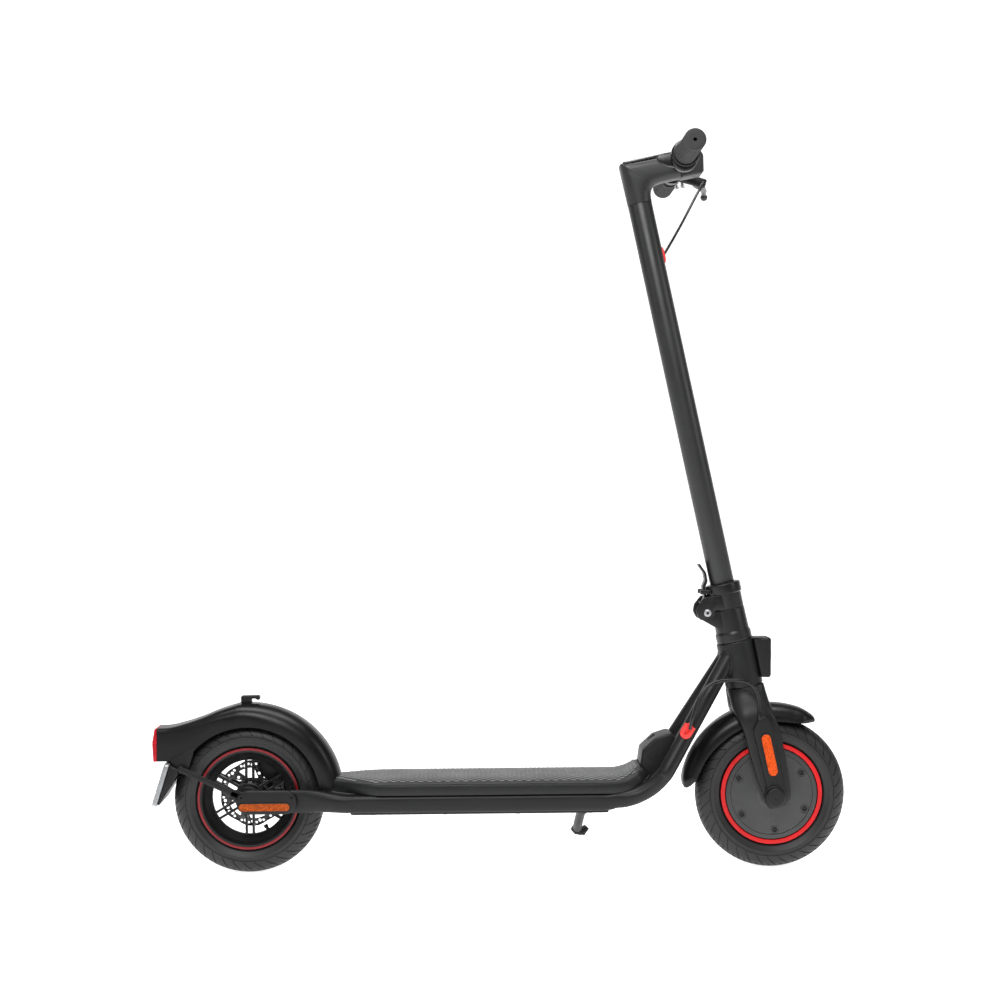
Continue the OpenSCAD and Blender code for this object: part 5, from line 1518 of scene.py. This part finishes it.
def kickstand():
    """Leg splayed out to the left, with a swept foot and a sleeve round its pivot."""
    root = in_frame(ROAD, joint("kickstand")["pos_m"])
    foot = Vector((551, 186, 27))
    line = [root + Vector((0, 2, -1)), root.lerp(foot, 0.3), root.lerp(foot, 0.8), foot + Vector((3, -1, 3)),
            foot + Vector((10, 3, -3))]
    leg = sweep(smooth_path(line, 6), 8, 24)
    shoe = sweep([foot + Vector((-6, -3, 5)), foot + Vector((0, 0, 1)), foot + Vector((12, 4, -2)),
                  foot + Vector((19, 5, 5))], [6, 8.8, 8.2, 5.4], 24)
    sleeve = moved(disc(11, -12, 12, 1.5, 40), Matrix.Translation(root) @ Matrix.Rotation(math.radians(90), 4,
                                                                                          "Z"))
    put("kickstand_blade", join(leg, shoe, sleeve), ROAD, "stand", PLASTIC, ("kickstand_leg",))


def carried_over():
    """CAD pieces whose own shape shows, with their finishes."""
    finishes = {"deck_tray": FRAME_PAINT, "battery_pack": BATTERY_WRAP, "controller": DARK_STEEL,
                "headset_bearings": STEEL,
                "rear_bearings": STEEL, "rear_axle": STEEL, "kickstand_bracket": DARK_STEEL,
                "caliper_arm": LEVER_ALLOY}
    for node, material in finishes.items():
        piece = frame["nodes"][node]
        piece.data.materials.clear()
        piece.data.materials.append(material)
        edge = piece.modifiers.new("worn_edges", "BEVEL")
        edge.width, edge.segments, edge.limit_method, edge.angle_limit = 0.0006, 2, "ANGLE", math.radians(40)


# ---- Studio ----
def studio():
    floor = Finish("studio_floor", (0.86, 0.86, 0.86), 0.7, Emission_Strength=0.85)
    y = floor.node("ShaderNodeSeparateXYZ", None, {0: floor.place()}, output="Y")
    floor.feed("Emission Color", floor.mix(floor.ease(y, -1.3, -1.0), (0.25, 0.25, 0.25), (1, 1, 1)))
    floor.feed("Roughness", floor.noise(8, 3) * 0.1 + 0.62)
    reach, radius = 14.0, 4.0
    line = [(-reach, 0.0)] + [(reach - radius + radius * math.sin(a), radius - radius * math.cos(a))
                              for a in (math.pi / 2 * k / 16 for k in range(17))] + [(reach, 12.0)]
    rows = [[(x, y, z) for y, z in line] for x in (-20.0, 20.0)]
    piece = put("studio_backdrop", skin(rows, close_ring=False, caps=False), Matrix.Identity(4), None,
                floor.material)
    world = bpy.data.worlds.new("studio_light")
    bpy.context.scene.world = world
    world.use_nodes = True
    world.node_tree.nodes["Background"].inputs[0].default_value = (1, 1, 1, 1)
    world.node_tree.nodes["Background"].inputs[1].default_value = 0.06

    def lamp(name, at, aim, wide, tall, watts):
        light = bpy.data.lights.new(name, "AREA")
        light.shape, light.size, light.size_y, light.energy = "RECTANGLE", wide, tall, watts
        holder = bpy.data.objects.new(name, light)
        holder.location = at
        holder.rotation_euler = (Vector(aim) - Vector(at)).to_track_quat("-Z", "Y").to_euler()
        bpy.context.scene.collection.objects.link(holder)

    lamp("key_softbox", (-0.3, -3.0, 2.6), (0.1, 0, 0.5), 1.5, 1.1, 78)
    lamp("right_softbox", (2.9, -1.3, 1.7), (0.3, 0, 0.4), 0.9, 1.6, 18)
    lamp("left_softbox", (-2.9, -1.5, 1.7), (-0.3, 0, 0.4), 0.9, 1.6, 10)
    lamp("top_softbox", (0.0, -0.2, 3.0), (0, 0, 0.4), 2.8, 1.0, 75)


def camera():
    yaw, pitch, roll = (math.radians(d) for d in (0.919, 0.619, -0.453))
    way = Vector((math.sin(yaw) * math.cos(pitch), math.cos(yaw) * math.cos(pitch), -math.sin(pitch)))
    right = Vector((math.cos(yaw), -math.sin(yaw), 0))
    up = right.cross(way)
    right, up = right * math.cos(roll) + up * math.sin(roll), up * math.cos(roll) - right * math.sin(roll)
    lens = bpy.data.cameras.new("camera")
    lens.lens, lens.sensor_width = 66.62, 36
    lens.clip_end = 100
    holder = bpy.data.objects.new("camera", lens)
    turn = Matrix((right, up, -way)).transposed().to_4x4()
    holder.matrix_world = Matrix.Translation((-0.0487, -3.0661, 0.6449)) @ turn
    bpy.context.scene.collection.objects.link(holder)
    bpy.context.scene.camera = holder
    bpy.context.scene.view_settings.view_transform = "Standard"


camera()
studio()
tyre("front_tyre_rubber", FRONT_HUB, "front_wheel", "front_tyre")
tyre("rear_tyre_rubber", REAR_HUB, "rear_wheel", "rear_tyre")
rear_rim()
rotor()
caliper()
front_rim()
motor_cover()
axle_caps()
rear_fender()
front_fender()
tail_parts()
hook()
plate_parts()
stays()
rear_arms()
deck()
rails()
head_tube()
neck()
marker()
rail_grommet()
fork()
motor_cable()
hinge()
collar()
folding_lever()
stem()
gooseneck()
dashboard()
grips()
brake_controls()
brake_line()
throttle()
rear_brake_line()
kickstand()
carried_over()
